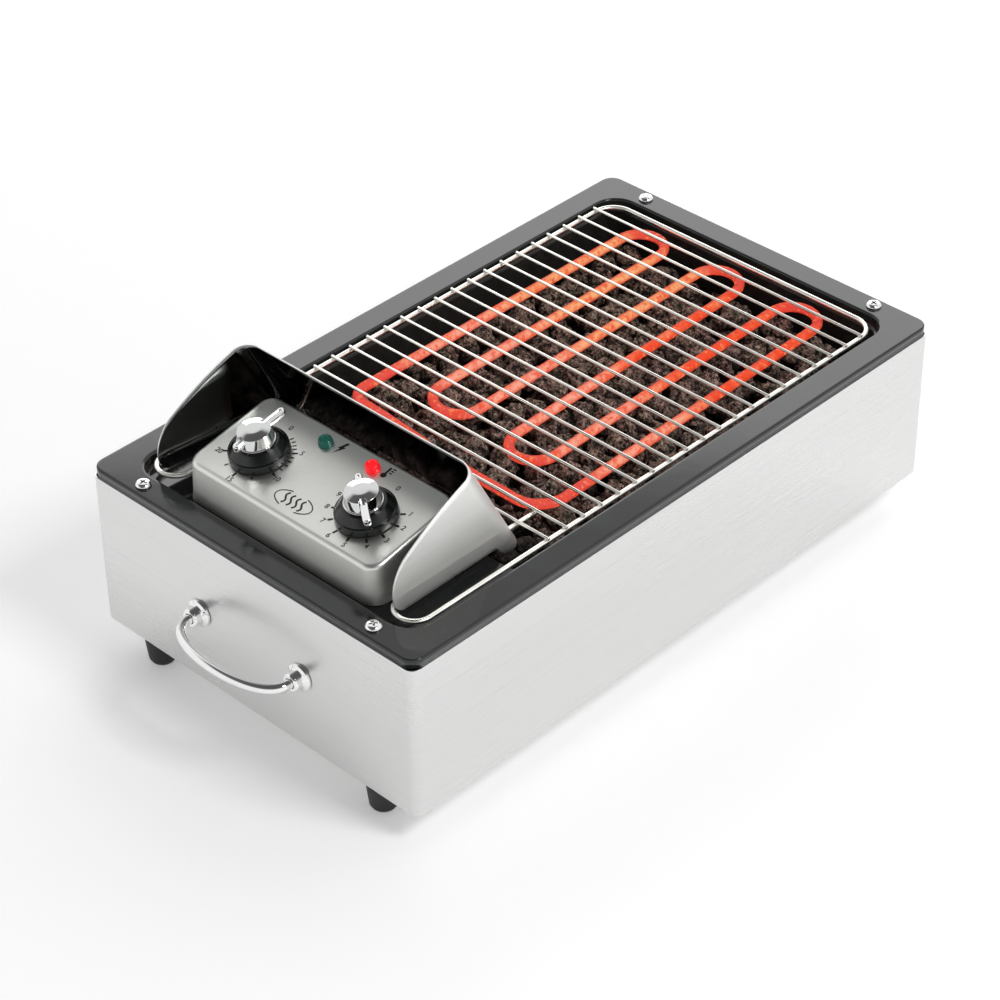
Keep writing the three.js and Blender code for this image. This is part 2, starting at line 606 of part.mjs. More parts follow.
function leverBar(grow) {
  const [low, high, radius] = [LEVER.low - grow, LEVER.high + grow, LEVER.width / 2];
  const outline = new THREE.Shape();
  outline.absarc(0, LEVER.pointer - radius, radius + grow, 0, Math.PI);
  outline.absarc(0, radius - LEVER.tail, radius + grow, Math.PI, 2 * Math.PI);
  const settings = { depth: high - low, bevelEnabled: false, curveSegments: 6 };
  return new THREE.ExtrudeGeometry(outline, settings).translate(0, 0, low);
}

function knobCap() {
  const { r, topR, top } = CAP;
  const cap = turned([[0, SKIRT_TOP + GAP], [r, SKIRT_TOP + GAP], [topR + 0.6, top - 2], [topR - 0.6, top - 0.7],
    [topR - 4, top], [0, top]], 24);
  return geometryOf(cut(solid(cap), solid(leverBar(GAP))));
}

for (const [name, spot, setting] of [['timer', TIMER, 0], ['regulator', REGULATOR, REGULATOR_SETTING]]) {
  const knob = new THREE.Group();
  knob.position.set(spot.x, spot.y, panelZ(spot.y));
  knob.rotation.set(PANEL_TILT, 0, 0);
  const dial = new THREE.Group();
  dial.rotation.z = -THREE.MathUtils.degToRad(setting);
  knob.add(dial);
  grill.add(knob);
  add(`${name}_knob_skirt`, knobSkirt(), blackPlastic, dial);
  add(`${name}_knob_cap`, knobCap(), chrome, dial);
  add(`${name}_knob_lever`, leverBar(0), chrome, dial);
  add(`${name}_knob_spindle`, rod([0, 0, -8], [0, 0, 10 - GAP], SPINDLE_R, 12), zincPlate, dial);
}

// ---- cooking grid -------------------------------------------------------------------------------
// The straight middle of its frame carries the bars; the bent ends of the wire are pieces of their own.
const RAIL_HALF = 231.6;        // half length of the straight rails

function gridEnds(radius) {
  const [z, turn, back] = [RAIL_Z, (RAIL_X - LEG_X) / 2, 18];
  const from = RAIL_HALF + GAP;
  const legEnd = BAR_FIRST - (BAR_COUNT - 2) * BAR_PITCH + 2;
  const front = (side) => tube(bentWire([[side * RAIL_X, -from, z], [side * RAIL_X, -RAIL_Y, z, turn],
    [side * LEG_X, -RAIL_Y, z, turn], [side * LEG_X, legEnd, z]], 5), radius, 8);
  const rear = tube(bentWire([[-RAIL_X, from, z], [-RAIL_X, RAIL_Y, z, back], [RAIL_X, RAIL_Y, z, back],
    [RAIL_X, from, z]], 5), radius, 8);
  return { left: front(-1), right: front(1), rear };
}

function gridLadder() {
  const barZ = RAIL_Z + RAIL_R + BAR_R - 0.4;
  const parts = [-RAIL_X, RAIL_X].map((x) => solid(rod([x, -RAIL_HALF, RAIL_Z], [x, RAIL_HALF, RAIL_Z], RAIL_R, 8)));
  for (let i = 0; i < BAR_COUNT; i++) {
    const y = BAR_FIRST - i * BAR_PITCH;
    parts.push(solid(rod([-BAR_HALF, y, barZ], [BAR_HALF, y, barZ], BAR_R, 6)));
  }
  const clearance = gridEnds(RAIL_R + GAP);
  return cut(join(...parts), solid(clearance.left), solid(clearance.right));
}

const ends = gridEnds(RAIL_R);
add('grid_ladder', gridLadder(), chrome);
add('grid_end_rear', ends.rear, chrome);
add('grid_end_left', ends.left, chrome);
add('grid_end_right', ends.right, chrome);

// ---- heat shield: a wall behind the knobs that leans forward, with a wing on each side ------------
const SHIELD_FOOT_Y = -128;     // outside of the rear wall at the foot height
const SHIELD_FOOT_Z = 164.5;
const TAB_BOTTOM = 151;
const WING_BOTTOM = 160;
const LEFT_SPLAY = 0.065;       // outward slant of the left wing, per mm forward
const NOTCH = 26;               // half width of the rear wall's cut-out over the element

// The wrapped sheet before its outline is cut, as outside or inside form.
function shieldForm(inset) {
  const [x, front] = [SHIELD.x - inset, -320 - inset];
  return loft([TAB_BOTTOM - 5, SHIELD.top + 5].map((z) => {
    const rear = SHIELD_FOOT_Y - (z - SHIELD_FOOT_Z) * SHIELD.lean - inset;
    const outline = roundedOutline(-x, front, x, rear, SHIELD.corner - inset, 8);
    return outline.map((p) => {
      const splay = p.x < 0 ? LEFT_SPLAY * Math.max(0, rear - SHIELD.corner - p.y) : 0;
      return new THREE.Vector3(p.x - splay, p.y, z);
    });
  }));
}

// Side view of the wings in (y, z), pushed out across the full width.
function shieldProfile() {
  const outline = new THREE.Shape();
  outline.moveTo(-150, SHIELD.top);
  outline.lineTo(-168, SHIELD.top);
  outline.quadraticCurveTo(-207, 225, -238, 202.5);
  outline.bezierCurveTo(-251, 193, -257, 166, -242, WING_BOTTOM);
  outline.lineTo(-152, WING_BOTTOM + 1);
  outline.quadraticCurveTo(-147, WING_BOTTOM, -144, TAB_BOTTOM + 2);
  outline.lineTo(-138, TAB_BOTTOM);
  outline.lineTo(-100, TAB_BOTTOM);
  outline.lineTo(-100, SHIELD.top);
  const settings = { depth: 300, bevelEnabled: false, curveSegments: 8 };
  const plate = new THREE.ExtrudeGeometry(outline, settings).translate(0, 0, -150);
  return plate.applyMatrix4(SIDE_VIEW);
}

function heatShield() {
  const sheet = cut(solid(shieldForm(0)), solid(shieldForm(SHIELD.sheet)));
  const underWall = solid(boxBetween([3 - LEG_X, -200, 100], [LEG_X - 3, -100, SHIELD_FOOT_Z]));
  const elementNotch = solid(boxBetween([-NOTCH, -200, 100], [NOTCH, -100, SHIELD_FOOT_Z + 3]));
  const legSlots = [-LEG_X, LEG_X].map((x) => solid(
    boxBetween([x - RAIL_R - 0.5, -160, RAIL_Z - RAIL_R - 0.5], [x + RAIL_R + 0.5, -100, RAIL_Z + RAIL_R + 0.5])));
  return cut(sheet.intersect(solid(shieldProfile())), underWall, elementNotch, ...legSlots);
}

add('heat_shield', heatShield(), polishedSteel);

export default grill;
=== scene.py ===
"""Tabletop electric lava-rock barbecue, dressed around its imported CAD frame. Shapes are given in millimetres."""

import math
import random

import bmesh
import bpy
from mathutils import Matrix, Vector, noise


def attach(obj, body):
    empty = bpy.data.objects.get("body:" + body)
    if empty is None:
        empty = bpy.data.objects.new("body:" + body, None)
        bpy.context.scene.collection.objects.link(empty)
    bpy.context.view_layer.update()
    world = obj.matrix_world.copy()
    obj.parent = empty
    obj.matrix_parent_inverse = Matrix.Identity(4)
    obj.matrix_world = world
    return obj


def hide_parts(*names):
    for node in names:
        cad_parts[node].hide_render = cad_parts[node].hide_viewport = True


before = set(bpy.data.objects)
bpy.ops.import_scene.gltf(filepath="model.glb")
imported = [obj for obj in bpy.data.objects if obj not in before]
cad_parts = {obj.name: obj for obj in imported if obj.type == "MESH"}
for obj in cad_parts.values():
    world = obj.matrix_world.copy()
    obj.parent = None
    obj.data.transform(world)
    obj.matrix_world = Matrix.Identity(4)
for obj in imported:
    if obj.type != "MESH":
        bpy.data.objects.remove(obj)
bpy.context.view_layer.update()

MM = 0.001
UP = Vector((0, 0, 1))
CORNERS = {"front_left": (-1, -1), "front_right": (1, -1), "rear_left": (-1, 1), "rear_right": (1, 1)}

# ---- dimensions shared with the CAD ---------------------------------------------------------------
WALL_X, WALL_Y = 165.5, 281
FOOT_HEIGHT = 23
CASING_TOP = 154.2
RIM_TOP = 162.5
OPENING_X, OPENING_Y, OPENING_R = 142.5, 259, 20
WELL_FLOOR, SHELF_TOP, SHELF_REAR = 92, 152.5, -152
HANDLE_X, HANDLE_Z = 52.5, 88
SCREW_X, SCREW_Y, FOOT_Y = 118, 270.5, 268
PANEL_TILT = math.radians(11)
TIMER, REGULATOR = (-55, -213), (52.8, -212)
REGULATOR_SETTING = 127
RAIL_X, RAIL_Y, RAIL_Z, LEG_X = 136.7, 250, 160.5, 107.5
BARS, BAR_PITCH, REAR_BAR_Y = 20, 18.42, 230
RUNS, RUN_PITCH, SHEATH_RADIUS = 6, 39.4, 4
ELEMENT_Z, GLAND_X, GLAND_Z = 156, 12, 161


def panel_z(y):
    return 184 + (y + 250) * math.tan(PANEL_TILT)


def on_panel(x, y, turn=0):
    """The panel's own frame at a spot: +Z out of the panel, turned clockwise by that many degrees."""
    place = Matrix.Translation((x, y, panel_z(y))) @ Matrix.Rotation(PANEL_TILT, 4, "X")
    return place @ Matrix.Rotation(-math.radians(turn), 4, "Z")


# ---- camera, floor and light ----------------------------------------------------------------------
def add_camera():
    """The viewing angle, with a small roll."""
    azimuth, elevation, roll = math.radians(44.262), math.radians(36.597), math.radians(-0.728)
    target, distance = Vector((0.01727, -0.04378, 0.09466)), 2.2587
    back = Vector((math.sin(azimuth) * math.cos(elevation), -math.cos(azimuth) * math.cos(elevation),
                   math.sin(elevation)))
    level = UP.cross(back).normalized()
    upright = back.cross(level)
    right = level * math.cos(roll) + upright * math.sin(roll)
    up = upright * math.cos(roll) - level * math.sin(roll)
    data = bpy.data.cameras.new("camera")
    data.lens, data.sensor_width = 108.8, 36
    camera = bpy.data.objects.new("camera", data)
    camera.matrix_world = Matrix.Translation(target + back * distance) @ Matrix((right, up, back)).transposed().to_4x4()
    bpy.context.scene.collection.objects.link(camera)
    bpy.context.scene.camera = camera


def add_softbox(name, place, aim, size, power):
    data = bpy.data.lights.new(name, "AREA")
    data.shape, data.size, data.size_y, data.energy = "RECTANGLE", size[0], size[1], power
    light = bpy.data.objects.new(name, data)
    light.location = place
    light.rotation_euler = (Vector(aim) - Vector(place)).to_track_quat("-Z", "Y").to_euler()
    light.visible_camera = False
    bpy.context.scene.collection.objects.link(light)


def add_world():
    """A light tent that is bright all round, with a dark opening overhead and towards the front."""
    world = bpy.data.worlds.new("studio")
    bpy.context.scene.world = world
    world.use_nodes = True
    tree = world.node_tree
    coordinate = tree.nodes.new("ShaderNodeTexCoord")
    towards = tree.nodes.new("ShaderNodeVectorMath")
    towards.operation = "DOT_PRODUCT"
    towards.inputs[1].default_value = (0.10, -0.30, 0.95)
    ramp = tree.nodes.new("ShaderNodeValToRGB")
    tree.links.new(coordinate.outputs["Generated"], towards.inputs[0])
    tree.links.new(towards.outputs["Value"], ramp.inputs[0])
    tree.links.new(ramp.outputs["Color"], tree.nodes["Background"].inputs["Color"])
    tree.nodes["Background"].inputs["Strength"].default_value = 1.0
    stops = [(0.0, 0.92), (0.56, 0.95), (0.64, 0.80), (0.74, 0.14), (1.0, 0.08)]
    elements = ramp.color_ramp.elements
    while len(elements) < len(stops):
        elements.new(0.5)
    for element, (position, grey) in zip(elements, stops):
        element.position, element.color = position, (grey, grey, grey, 1)


add_camera()
add_world()
add_softbox("softbox_rear", (-1.60, 1.65, 1.31), (0, 0, 0.2), (2.6, 0.96), 17)
add_softbox("key", (1.36, 0.11, 1.80), (0, 0, 0.1), (0.6, 0.6), 19)
bpy.context.scene.view_settings.view_transform = "Standard"


# ---- materials ------------------------------------------------------------------------------------
class Shader:
    """A material with its Principled shader, and short ways to add and link nodes."""

    def __init__(self, name, values):
        self.material = bpy.data.materials.new(name)
        self.material.use_nodes = True
        self.tree = self.material.node_tree
        self.principled = self.tree.nodes["Principled BSDF"]
        for socket, value in values.items():
            self.principled.inputs[socket].default_value = value

    def add(self, kind, inputs=None, **settings):
        node = self.tree.nodes.new("ShaderNode" + kind)
        for key, value in settings.items():
            setattr(node, key, value)
        for socket, value in (inputs or {}).items():
            if isinstance(value, bpy.types.NodeSocket):
                self.tree.links.new(value, node.inputs[socket])
            else:
                node.inputs[socket].default_value = value
        return node

    def drive(self, socket, output):
        """Links an output to a socket of the Principled shader."""
        self.tree.links.new(output, self.principled.inputs[socket])

    def position(self, scale=(1, 1, 1)):
        """The place on the piece in metres, stretched by scale."""
        place = self.add("TexCoord").outputs["Object"]
        return self.add("Mapping", {"Vector": place, "Scale": scale}).outputs[0]

    def noise(self, scale, detail=2.0, stretch=(1, 1, 1), rough=0.5):
        node = self.add("TexNoise", {"Vector": self.position(stretch), "Scale": scale, "Detail": detail,
                                     "Roughness": rough})
        return node.outputs["Fac"]

    def between(self, value, low, high, start=0.0, end=1.0):
        """value from start to end carried over to low to high."""
        return self.add("MapRange", {"Value": value, "From Min": start, "From Max": end, "To Min": low,
                                     "To Max": high}).outputs[0]

    def blend(self, factor, first, second):
        """Colours mixed by a factor."""
        node = self.add("Mix", data_type="RGBA")
        for socket, value in ((0, factor), (6, first), (7, second)):
            if isinstance(value, bpy.types.NodeSocket):
                self.tree.links.new(value, node.inputs[socket])
            else:
                node.inputs[socket].default_value = value if socket == 0 else (*value, 1)
        return node.outputs[2]

    def bump(self, height, distance):
        """Relief that is distance metres deep."""
        node = self.add("Bump", {"Height": height, "Distance": distance, "Strength": 1.0})
        self.drive("Normal", node.outputs[0])


def steel(name, colour, roughness, grain, depth=0.00001, spread=0.08):
    """Brushed steel: fine streaks that run along the axis whose grain number is small."""
    shader = Shader(name, {"Metallic": 1.0})
    streaks = shader.noise(1.0, 3.0, grain, 0.6)
    clouds = shader.noise(9.0, 3.0)
    tone = shader.between(streaks, 0.95, 1.035, 0.25, 0.75)
    tint = shader.add("VectorMath", {0: (*colour,), "Scale": tone}, operation="SCALE")
    shader.drive("Base Color", tint.outputs[0])
    rough = shader.add("Math", {0: shader.between(streaks, -spread / 2, spread / 2, 0.25, 0.75),
                                1: shader.between(clouds, roughness - 0.03, roughness + 0.03, 0.3, 0.7)},
                       operation="ADD")
    shader.drive("Roughness", rough.outputs[0])
    shader.bump(streaks, depth)
    return shader.material


def polished(name, colour, roughness):
    """Chrome or mirror-bright steel with faint smears."""
    shader = Shader(name, {"Base Color": (*colour, 1), "Metallic": 1.0})
    smears = shader.noise(60.0, 4.0)
    shader.drive("Roughness", shader.between(smears, roughness * 0.6, roughness * 1.6, 0.3, 0.7))
    return shader.material


def moulded(name, colour, roughness, peel=400.0, depth=0.00002, shine=0.5):
    """Plastic, rubber or enamel with a slightly uneven skin."""
    shader = Shader(name, {"Specular IOR Level": shine})
    skin = shader.noise(peel, 3.0)
    dull = shader.noise(25.0, 3.0)
    darker = [0.75 * part for part in colour]
    shader.drive("Base Color", shader.blend(dull, darker, colour))
    shader.drive("Roughness", shader.between(dull, roughness * 0.85, roughness * 1.2, 0.3, 0.7))
    shader.bump(skin, depth)
    return shader.material


def glowing_sheath():
    """The element's sheath: orange where it is hottest, in the left middle, redder at its bends, darker red towards its
    edges as painted shade where the round tube turns from view, and dark where its cold ends go into the control box."""
    shader = Shader("glowing_sheath", {"Roughness": 0.6, "Specular IOR Level": 0.15})
    split = shader.add("SeparateXYZ", {0: shader.position()})
    right = shader.between(split.outputs["X"], 0.0, 1.0, -0.005, 0.025)
    rear = shader.between(split.outputs["Y"], 0.0, 1.0, 0.05, 0.11)
    along = shader.add("Math", {0: split.outputs["Y"], 1: 0.095}, operation="SUBTRACT").outputs[0]
    reach = shader.add("Math", {0: along}, operation="ABSOLUTE").outputs[0]
    ends = shader.between(reach, 0.0, 0.92, 0.114, 0.136)
    patches = shader.between(shader.noise(60.0, 3.0), -0.35, 0.35, 0.3, 0.7)
    redder = shader.add("Math", {0: shader.add("Math", {0: right, 1: rear}, operation="MULTIPLY").outputs[0],
                                 1: patches}, operation="ADD", use_clamp=True).outputs[0]
    glow = shader.blend(rear, (1.0, 0.40, 0.28), (1.0, 0.47, 0.20))
    glow = shader.blend(redder, glow, (0.95, 0.060, 0.012))
    glow = shader.blend(ends, glow, (0.78, 0.048, 0.050))
    # Painted shade: the glow turns darker and redder towards the sheath's edges, where the round tube turns away from
    # view.
    edges = shader.add("LayerWeight", {"Blend": 0.45}).outputs["Facing"]
    glow = shader.blend(shader.between(edges, 0.0, 0.9, 0.20, 0.68), glow, (0.50, 0.020, 0.014))
    mottled = shader.between(shader.noise(190.0, 4.0, rough=0.65), 0.85, 0.0, 0.40, 0.53)
    glow = shader.blend(mottled, glow, (0.86, 0.075, 0.022))
    specks = shader.between(shader.noise(300.0, 4.0, rough=0.7), 1.0, 0.0, 0.30, 0.44)
    glow = shader.blend(shader.between(specks, 0.0, 0.6), glow, (0.40, 0.05, 0.02))
    flecks = shader.between(shader.noise(260.0, 3.0, rough=0.65), 0.0, 0.6, 0.56, 0.65)
    glow = shader.blend(flecks, glow, (1.0, 0.36, 0.15))
    cold = shader.between(split.outputs["Y"], 1.0, 0.0, -0.112, -0.090)
    shader.drive("Base Color", shader.blend(cold, (0.11, 0.020, 0.012), (0.030, 0.022, 0.020)))
    shader.drive("Emission Color", shader.blend(cold, glow, (0.0, 0.0, 0.0)))
    shader.principled.inputs["Emission Strength"].default_value = 0.89
    shader.bump(shader.noise(700.0, 4.0, rough=0.7), 0.00025)
    return shader.material


def volcanic_rock():
    """Purple-brown to grey rock, full of pores, with shifting tones, and painted shade in its pores and hollows, low
    down in the bed and by the control box.
    """
    shader = Shader("volcanic_rock", {"Specular IOR Level": 0.2, "Roughness": 0.92})
    stones = shader.noise(46.0, 1.0)
    moss = shader.noise(85.0, 3.0)
    grit = shader.noise(520.0, 5.0, rough=0.75)
    lumps = shader.noise(240.0, 3.0, rough=0.6)
    pores = shader.add("TexVoronoi", {"Vector": shader.position(), "Scale": 430.0}).outputs["Distance"]
    tone = shader.blend(shader.between(stones, 0.0, 1.0, 0.36, 0.62), (0.082, 0.046, 0.043), (0.240, 0.195, 0.165))
    tone = shader.blend(shader.between(moss, 0.0, 0.8, 0.50, 0.62), tone, (0.078, 0.100, 0.060))
    dusty = shader.blend(shader.between(grit, 0.0, 1.0, 0.48, 0.64), tone, (0.58, 0.48, 0.40))
    # Painted shade: the rock turns near-black in its pores and in the hollows between its lumps.
    dark = shader.between(pores, 0.0, 1.0, 0.10, 0.36)
    hollow = shader.between(lumps, 0.0, 1.0, 0.38, 0.52)
    open_face = shader.add("Math", {0: dark, 1: hollow}, operation="MULTIPLY").outputs[0]
    face = shader.blend(open_face, (0.008, 0.007, 0.007), dusty)
    # Painted shade: stones low in the bed, under the top layer, and stones next to the control box turn near-black.
    split = shader.add("SeparateXYZ", {0: shader.position()})
    low = shader.between(split.outputs["Z"], 1.0, 0.0, 0.114, 0.131)
    box_shade = shader.between(split.outputs["Y"], 0.88, 0.0, -0.098, -0.080)
    deep = shader.add("Math", {0: low, 1: box_shade}, operation="MAXIMUM").outputs[0]
    shader.drive("Base Color", shader.blend(deep, face, (0.010, 0.008, 0.008)))
    relief = shader.add("Math", {0: open_face, 1: lumps}, operation="ADD").outputs[0]
    shader.bump(relief, 0.0013)
    return shader.material


casing_steel = steel("casing_steel", (0.72, 0.72, 0.715), 0.30, (4, 4, 1400))
panel_steel = steel("panel_steel", (0.82, 0.82, 0.785), 0.36, (1500, 8, 1500), 0.000004, 0.06)
# A lighter, rougher copy of the panel steel for the box walls; its lighter colour is painted light on the walls.
lit_wall_steel = steel("lit_wall_steel", (0.86, 0.86, 0.83), 0.55, (1500, 8, 1500), 0.000004, 0.06)
shield_steel = steel("shield_steel", (0.90, 0.90, 0.88), 0.50, (900, 6, 900), 0.000004, 0.06)
# The shield's inner side: polished steel, with its colour made dark as painted shade inside the shield.
shaded_shield_mirror = polished("shaded_shield_mirror", (0.23, 0.24, 0.235), 0.07)
zinc = steel("zinc_plate", (0.55, 0.56, 0.54), 0.40, (30, 30, 30))
chrome = polished("chrome", (0.90, 0.91, 0.90), 0.04)
grid_chrome = polished("grid_chrome", (0.95, 0.94, 0.88), 0.30)
cap_chrome = polished("cap_chrome", (0.70, 0.71, 0.70), 0.05)
enamel = moulded("black_enamel", (0.020, 0.022, 0.021), 0.10, 90.0, 0.00002, 0.42)
skirt_plastic = moulded("skirt_plastic", (0.004, 0.006, 0.005), 0.13, 300.0, 0.000003)
rubber = moulded("foot_rubber", (0.012, 0.012, 0.013), 0.55, 900.0, 0.00004)
gland_plastic = moulded("gland_plastic", (0.015, 0.015, 0.015), 0.40, 700.0)
ceramic = moulded("ceramic", (0.80, 0.77, 0.69), 0.60, 800.0)
print_ink = moulded("print_ink", (0.008, 0.008, 0.008), 0.50, 900.0, 0.000005)
sheath = glowing_sheath()
rock = volcanic_rock()


def lens_material(name, colour, glow):
    """A lens that is lit from inside and darker towards its rim."""
    shader = Shader(name, {"Roughness": 0.08, "Specular IOR Level": 0.5, "Emission Strength": glow})
    depth = shader.noise(300.0, 2.0)
    shader.drive("Base Color", shader.blend(depth, [0.6 * part for part in colour], colour))
    edges = shader.add("LayerWeight", {"Blend": 0.4}).outputs["Facing"]
    lit = shader.blend(shader.between(edges, 0.0, 1.0, 0.35, 0.80), colour, [0.25 * part for part in colour])
    shader.drive("Emission Color", lit)
    return shader.material


green_lens = lens_material("green_lens", (0.005, 0.13, 0.095), 0.12)
red_lens = lens_material("red_lens", (0.85, 0.008, 0.014), 0.75)


# ---- forms: (points, faces) in millimetres --------------------------------------------------------
def rounded(corners, steps=6, closed=False):
    """Points of a path through (x, y, z[, bend radius]) corners, with an arc at each bend."""
    at = [Vector(corner[:3]) for corner in corners]
    points = []
    for i, corner in enumerate(corners):
        if len(corner) < 4 or (not closed and i in (0, len(at) - 1)):
            points.append(at[i])
            continue
        radius = corner[3]
        back = (at[i - 1] - at[i]).normalized()
        ahead = (at[(i + 1) % len(at)] - at[i]).normalized()
        half = back.angle(ahead) / 2
        centre = at[i] + (back + ahead).normalized() * radius / math.sin(half)
        start = at[i] + back * radius / math.tan(half) - centre
        end = at[i] + ahead * radius / math.tan(half) - centre
        axis = start.cross(end).normalized()
        for k in range(steps + 1):
            turn = Matrix.Rotation((math.pi - 2 * half) * k / steps, 3, axis)
            points.append(centre + turn @ start)
    return points


def bezier(anchors, t):
    """A point of the curve from the first anchor to the last one that the anchors between them pull on."""
    while len(anchors) > 1:
        anchors = [tuple(a + (b - a) * t for a, b in zip(p, q)) for p, q in zip(anchors, anchors[1:])]
    return anchors[0]


def strips(rings, closed_path=False):
    """Faces between neighbouring closed rings of the same number of points."""
    count = len(rings[0])
    faces = []
    last = len(rings) if closed_path else len(rings) - 1
    for level in range(last):
        here, there = level * count, (level + 1) % len(rings) * count
        for i in range(count):
            k = (i + 1) % count
            faces.append((here + i, here + k, there + k, there + i))
    return faces


def skin(rings, low=True, high=True, closed_path=False):
    """A form through closed rings, with a face over its first and last ring."""
    points = [point for ring in rings for point in ring]
    faces = strips(rings, closed_path)
    count = len(rings[0])
    if low and not closed_path:
        faces.append(tuple(reversed(range(count))))
    if high and not closed_path:
        faces.append(tuple(range(len(points) - count, len(points))))
    return points, faces


def lathe(profile, segments=64, steps=4, closed=False):
    """A turned form about Z through (radius, height[, edge radius]) corners."""
    path = rounded([(c[0], 0, c[1], *c[2:]) for c in profile], steps, closed)
    rings = []
    for point in path:
        ring = []
        for i in range(segments):
            angle = 2 * math.pi * i / segments
            ring.append(Vector((point.x * math.cos(angle), point.x * math.sin(angle), point.z)))
        rings.append(ring)
    return skin(rings, closed_path=closed)


def sweep(path, radius, sides=16, closed=False, nose=0):
    """A round tube along a path. nose is how far its ends are rounded."""
    path = [Vector(point) for point in path]
    radii = [radius] * len(path)
    if nose:
        first, last = (path[0] - path[1]).normalized(), (path[-1] - path[-2]).normalized()
        steps = [(1 - math.sin(a), math.cos(a)) for a in (0.3, 0.75, 1.15, 1.45)]
        path[0], path[-1] = path[0] - first * nose, path[-1] - last * nose
        start = [path[0] + first * nose * (1 - s) for s, _ in steps]
        end = [path[-1] + last * nose * (1 - s) for s, _ in steps]
        path = list(reversed(start)) + path + end
        caps = [radius * c for _, c in steps]
        radii = list(reversed(caps)) + radii + caps
    tangents = []
    for i in range(len(path)):
        before = path[i - 1] if closed or i else path[0]
        after = path[(i + 1) % len(path)] if closed or i + 1 < len(path) else path[-1]
        ahead, back = after - path[i], path[i] - before
        tangents.append((ahead.normalized() + back.normalized()).normalized())
    side = tangents[0].orthogonal().normalized()
    rings = []
    for i, point in enumerate(path):
        if i:
            side = tangents[i - 1].rotation_difference(tangents[i]) @ side
        side = (side - side.project(tangents[i])).normalized()
        other = tangents[i].cross(side)
        turns = [2 * math.pi * k / sides for k in range(sides)]
        rings.append([point + (side * math.cos(a) + other * math.sin(a)) * radii[i] for a in turns])
    return skin(rings, closed_path=closed)


def outline(x0, y0, x1, y1, radius, steps=8):
    """Corner points of a rounded rectangle, anticlockwise from the lower right, as (x, y)."""
    points = []
    for quarter, (x, y) in enumerate([(x1 - radius, y0 + radius), (x1 - radius, y1 - radius),
                                      (x0 + radius, y1 - radius), (x0 + radius, y0 + radius)]):
        for k in range(steps + 1):
            angle = math.pi / 2 * (quarter - 1 + k / steps)
            points.append((x + radius * math.cos(angle), y + radius * math.sin(angle)))
    return points


def slab(half_x, half_y, radius, levels, steps=8):
    """Rings of a rounded rectangle centred on the origin, at (inset, height) levels."""
    return [[Vector((x, y, z)) for x, y in outline(inset - half_x, inset - half_y, half_x - inset, half_y - inset,
                                                   max(radius - inset, 0.2), steps)] for inset, z in levels]


def arc_levels(profile, steps=5, closed=False):
    """(inset, height[, edge radius]) corners with their edges rounded."""
    return [(p.x, p.z) for p in rounded([(c[0], 0, c[1], *c[2:]) for c in profile], steps, closed)]


def moved(form, matrix):
    points, faces = form
    return [matrix @ Vector(point) for point in points], faces


def merged(*forms):
    points, faces = [], []
    for form_points, form_faces in forms:
        shift = len(points)
        points += form_points
        faces += [tuple(i + shift for i in face) for face in form_faces]
    return points, faces


def prism(points, low, high):
    """An upright form over an (x, y) outline."""
    return skin([[Vector((x, y, z)) for x, y in points] for z in (low, high)])


def box_form(low, high):
    (x0, y0, z0), (x1, y1, z1) = low, high
    return prism(((x0, y0), (x1, y0), (x1, y1), (x0, y1)), z0, z1)


# ---- pieces ---------------------------------------------------------------------------------------
SHARP = 32


def piece(name, form, material, body, replaces=(), sharp=SHARP, materials=()):
    """One visible piece that rides on a body and stands for CAD nodes. Edges over the sharp angle stay sharp."""
    points, faces = form
    mesh = bpy.data.meshes.new(name)
    mesh.from_pydata([Vector(point) * MM for point in points], [], faces)
    clean(mesh)
    for each in (material, *materials):
        mesh.materials.append(each)
    mesh.shade_smooth()
    mesh.set_sharp_from_angle(angle=math.radians(sharp))
    item = bpy.data.objects.new(name, mesh)
    bpy.context.scene.collection.objects.link(item)
    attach(item, body)
    if replaces:
        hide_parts(*replaces)
    return item


def clean(mesh):
    """Merges repeated points, drops empty faces and turns every face outwards."""
    work = bmesh.new()
    work.from_mesh(mesh)
    bmesh.ops.remove_doubles(work, verts=work.verts, dist=0.000002)
    bmesh.ops.dissolve_degenerate(work, edges=work.edges, dist=0.000001)
    bmesh.ops.recalc_face_normals(work, faces=work.faces)
    work.to_mesh(mesh)
    work.free()


def carve(item, form):
    """Cuts a form out of a piece."""
    points, faces = form
    mesh = bpy.data.meshes.new("cutter")
    mesh.from_pydata([Vector(point) * MM for point in points], [], faces)
    clean(mesh)
    cutter = bpy.data.objects.new("cutter", mesh)
    bpy.context.scene.collection.objects.link(cutter)
    cut = item.modifiers.new("cut", "BOOLEAN")
    cut.object, cut.operation, cut.solver = cutter, "DIFFERENCE", "EXACT"
    graph = bpy.context.evaluated_depsgraph_get()
    result = bpy.data.meshes.new_from_object(item.evaluated_get(graph))
    item.modifiers.remove(cut)
    bpy.data.objects.remove(cutter)
    old = item.data
    item.data = result
    bpy.data.meshes.remove(old)
    item.data.shade_smooth()
    item.data.set_sharp_from_angle(angle=math.radians(SHARP))


def thicken(item, thickness, inner_material=0):
    """Gives a sheet its thickness, inwards. inner_material counts on from the outer side's material."""
    sheet = item.modifiers.new("sheet", "SOLIDIFY")
    sheet.thickness, sheet.offset, sheet.use_even_offset = thickness * MM, -1.0, True
    sheet.material_offset = inner_material


# ---- casing ---------------------------------------------------------------------------------------
def casing_shell():
    profile = [(24, FOOT_HEIGHT, 0.3), (0, FOOT_HEIGHT, 2.2), (0, CASING_TOP, 0.4), (1.2, CASING_TOP, 0.4),
               (1.2, FOOT_HEIGHT + 1.2, 1.0), (24, FOOT_HEIGHT + 1.2, 0.3)]
    rings = slab(WALL_X, WALL_Y, 8, arc_levels(profile, 5, True), 10)
    piece("casing_shell", skin(rings, closed_path=True), casing_steel, "casing", ["outer_casing"])


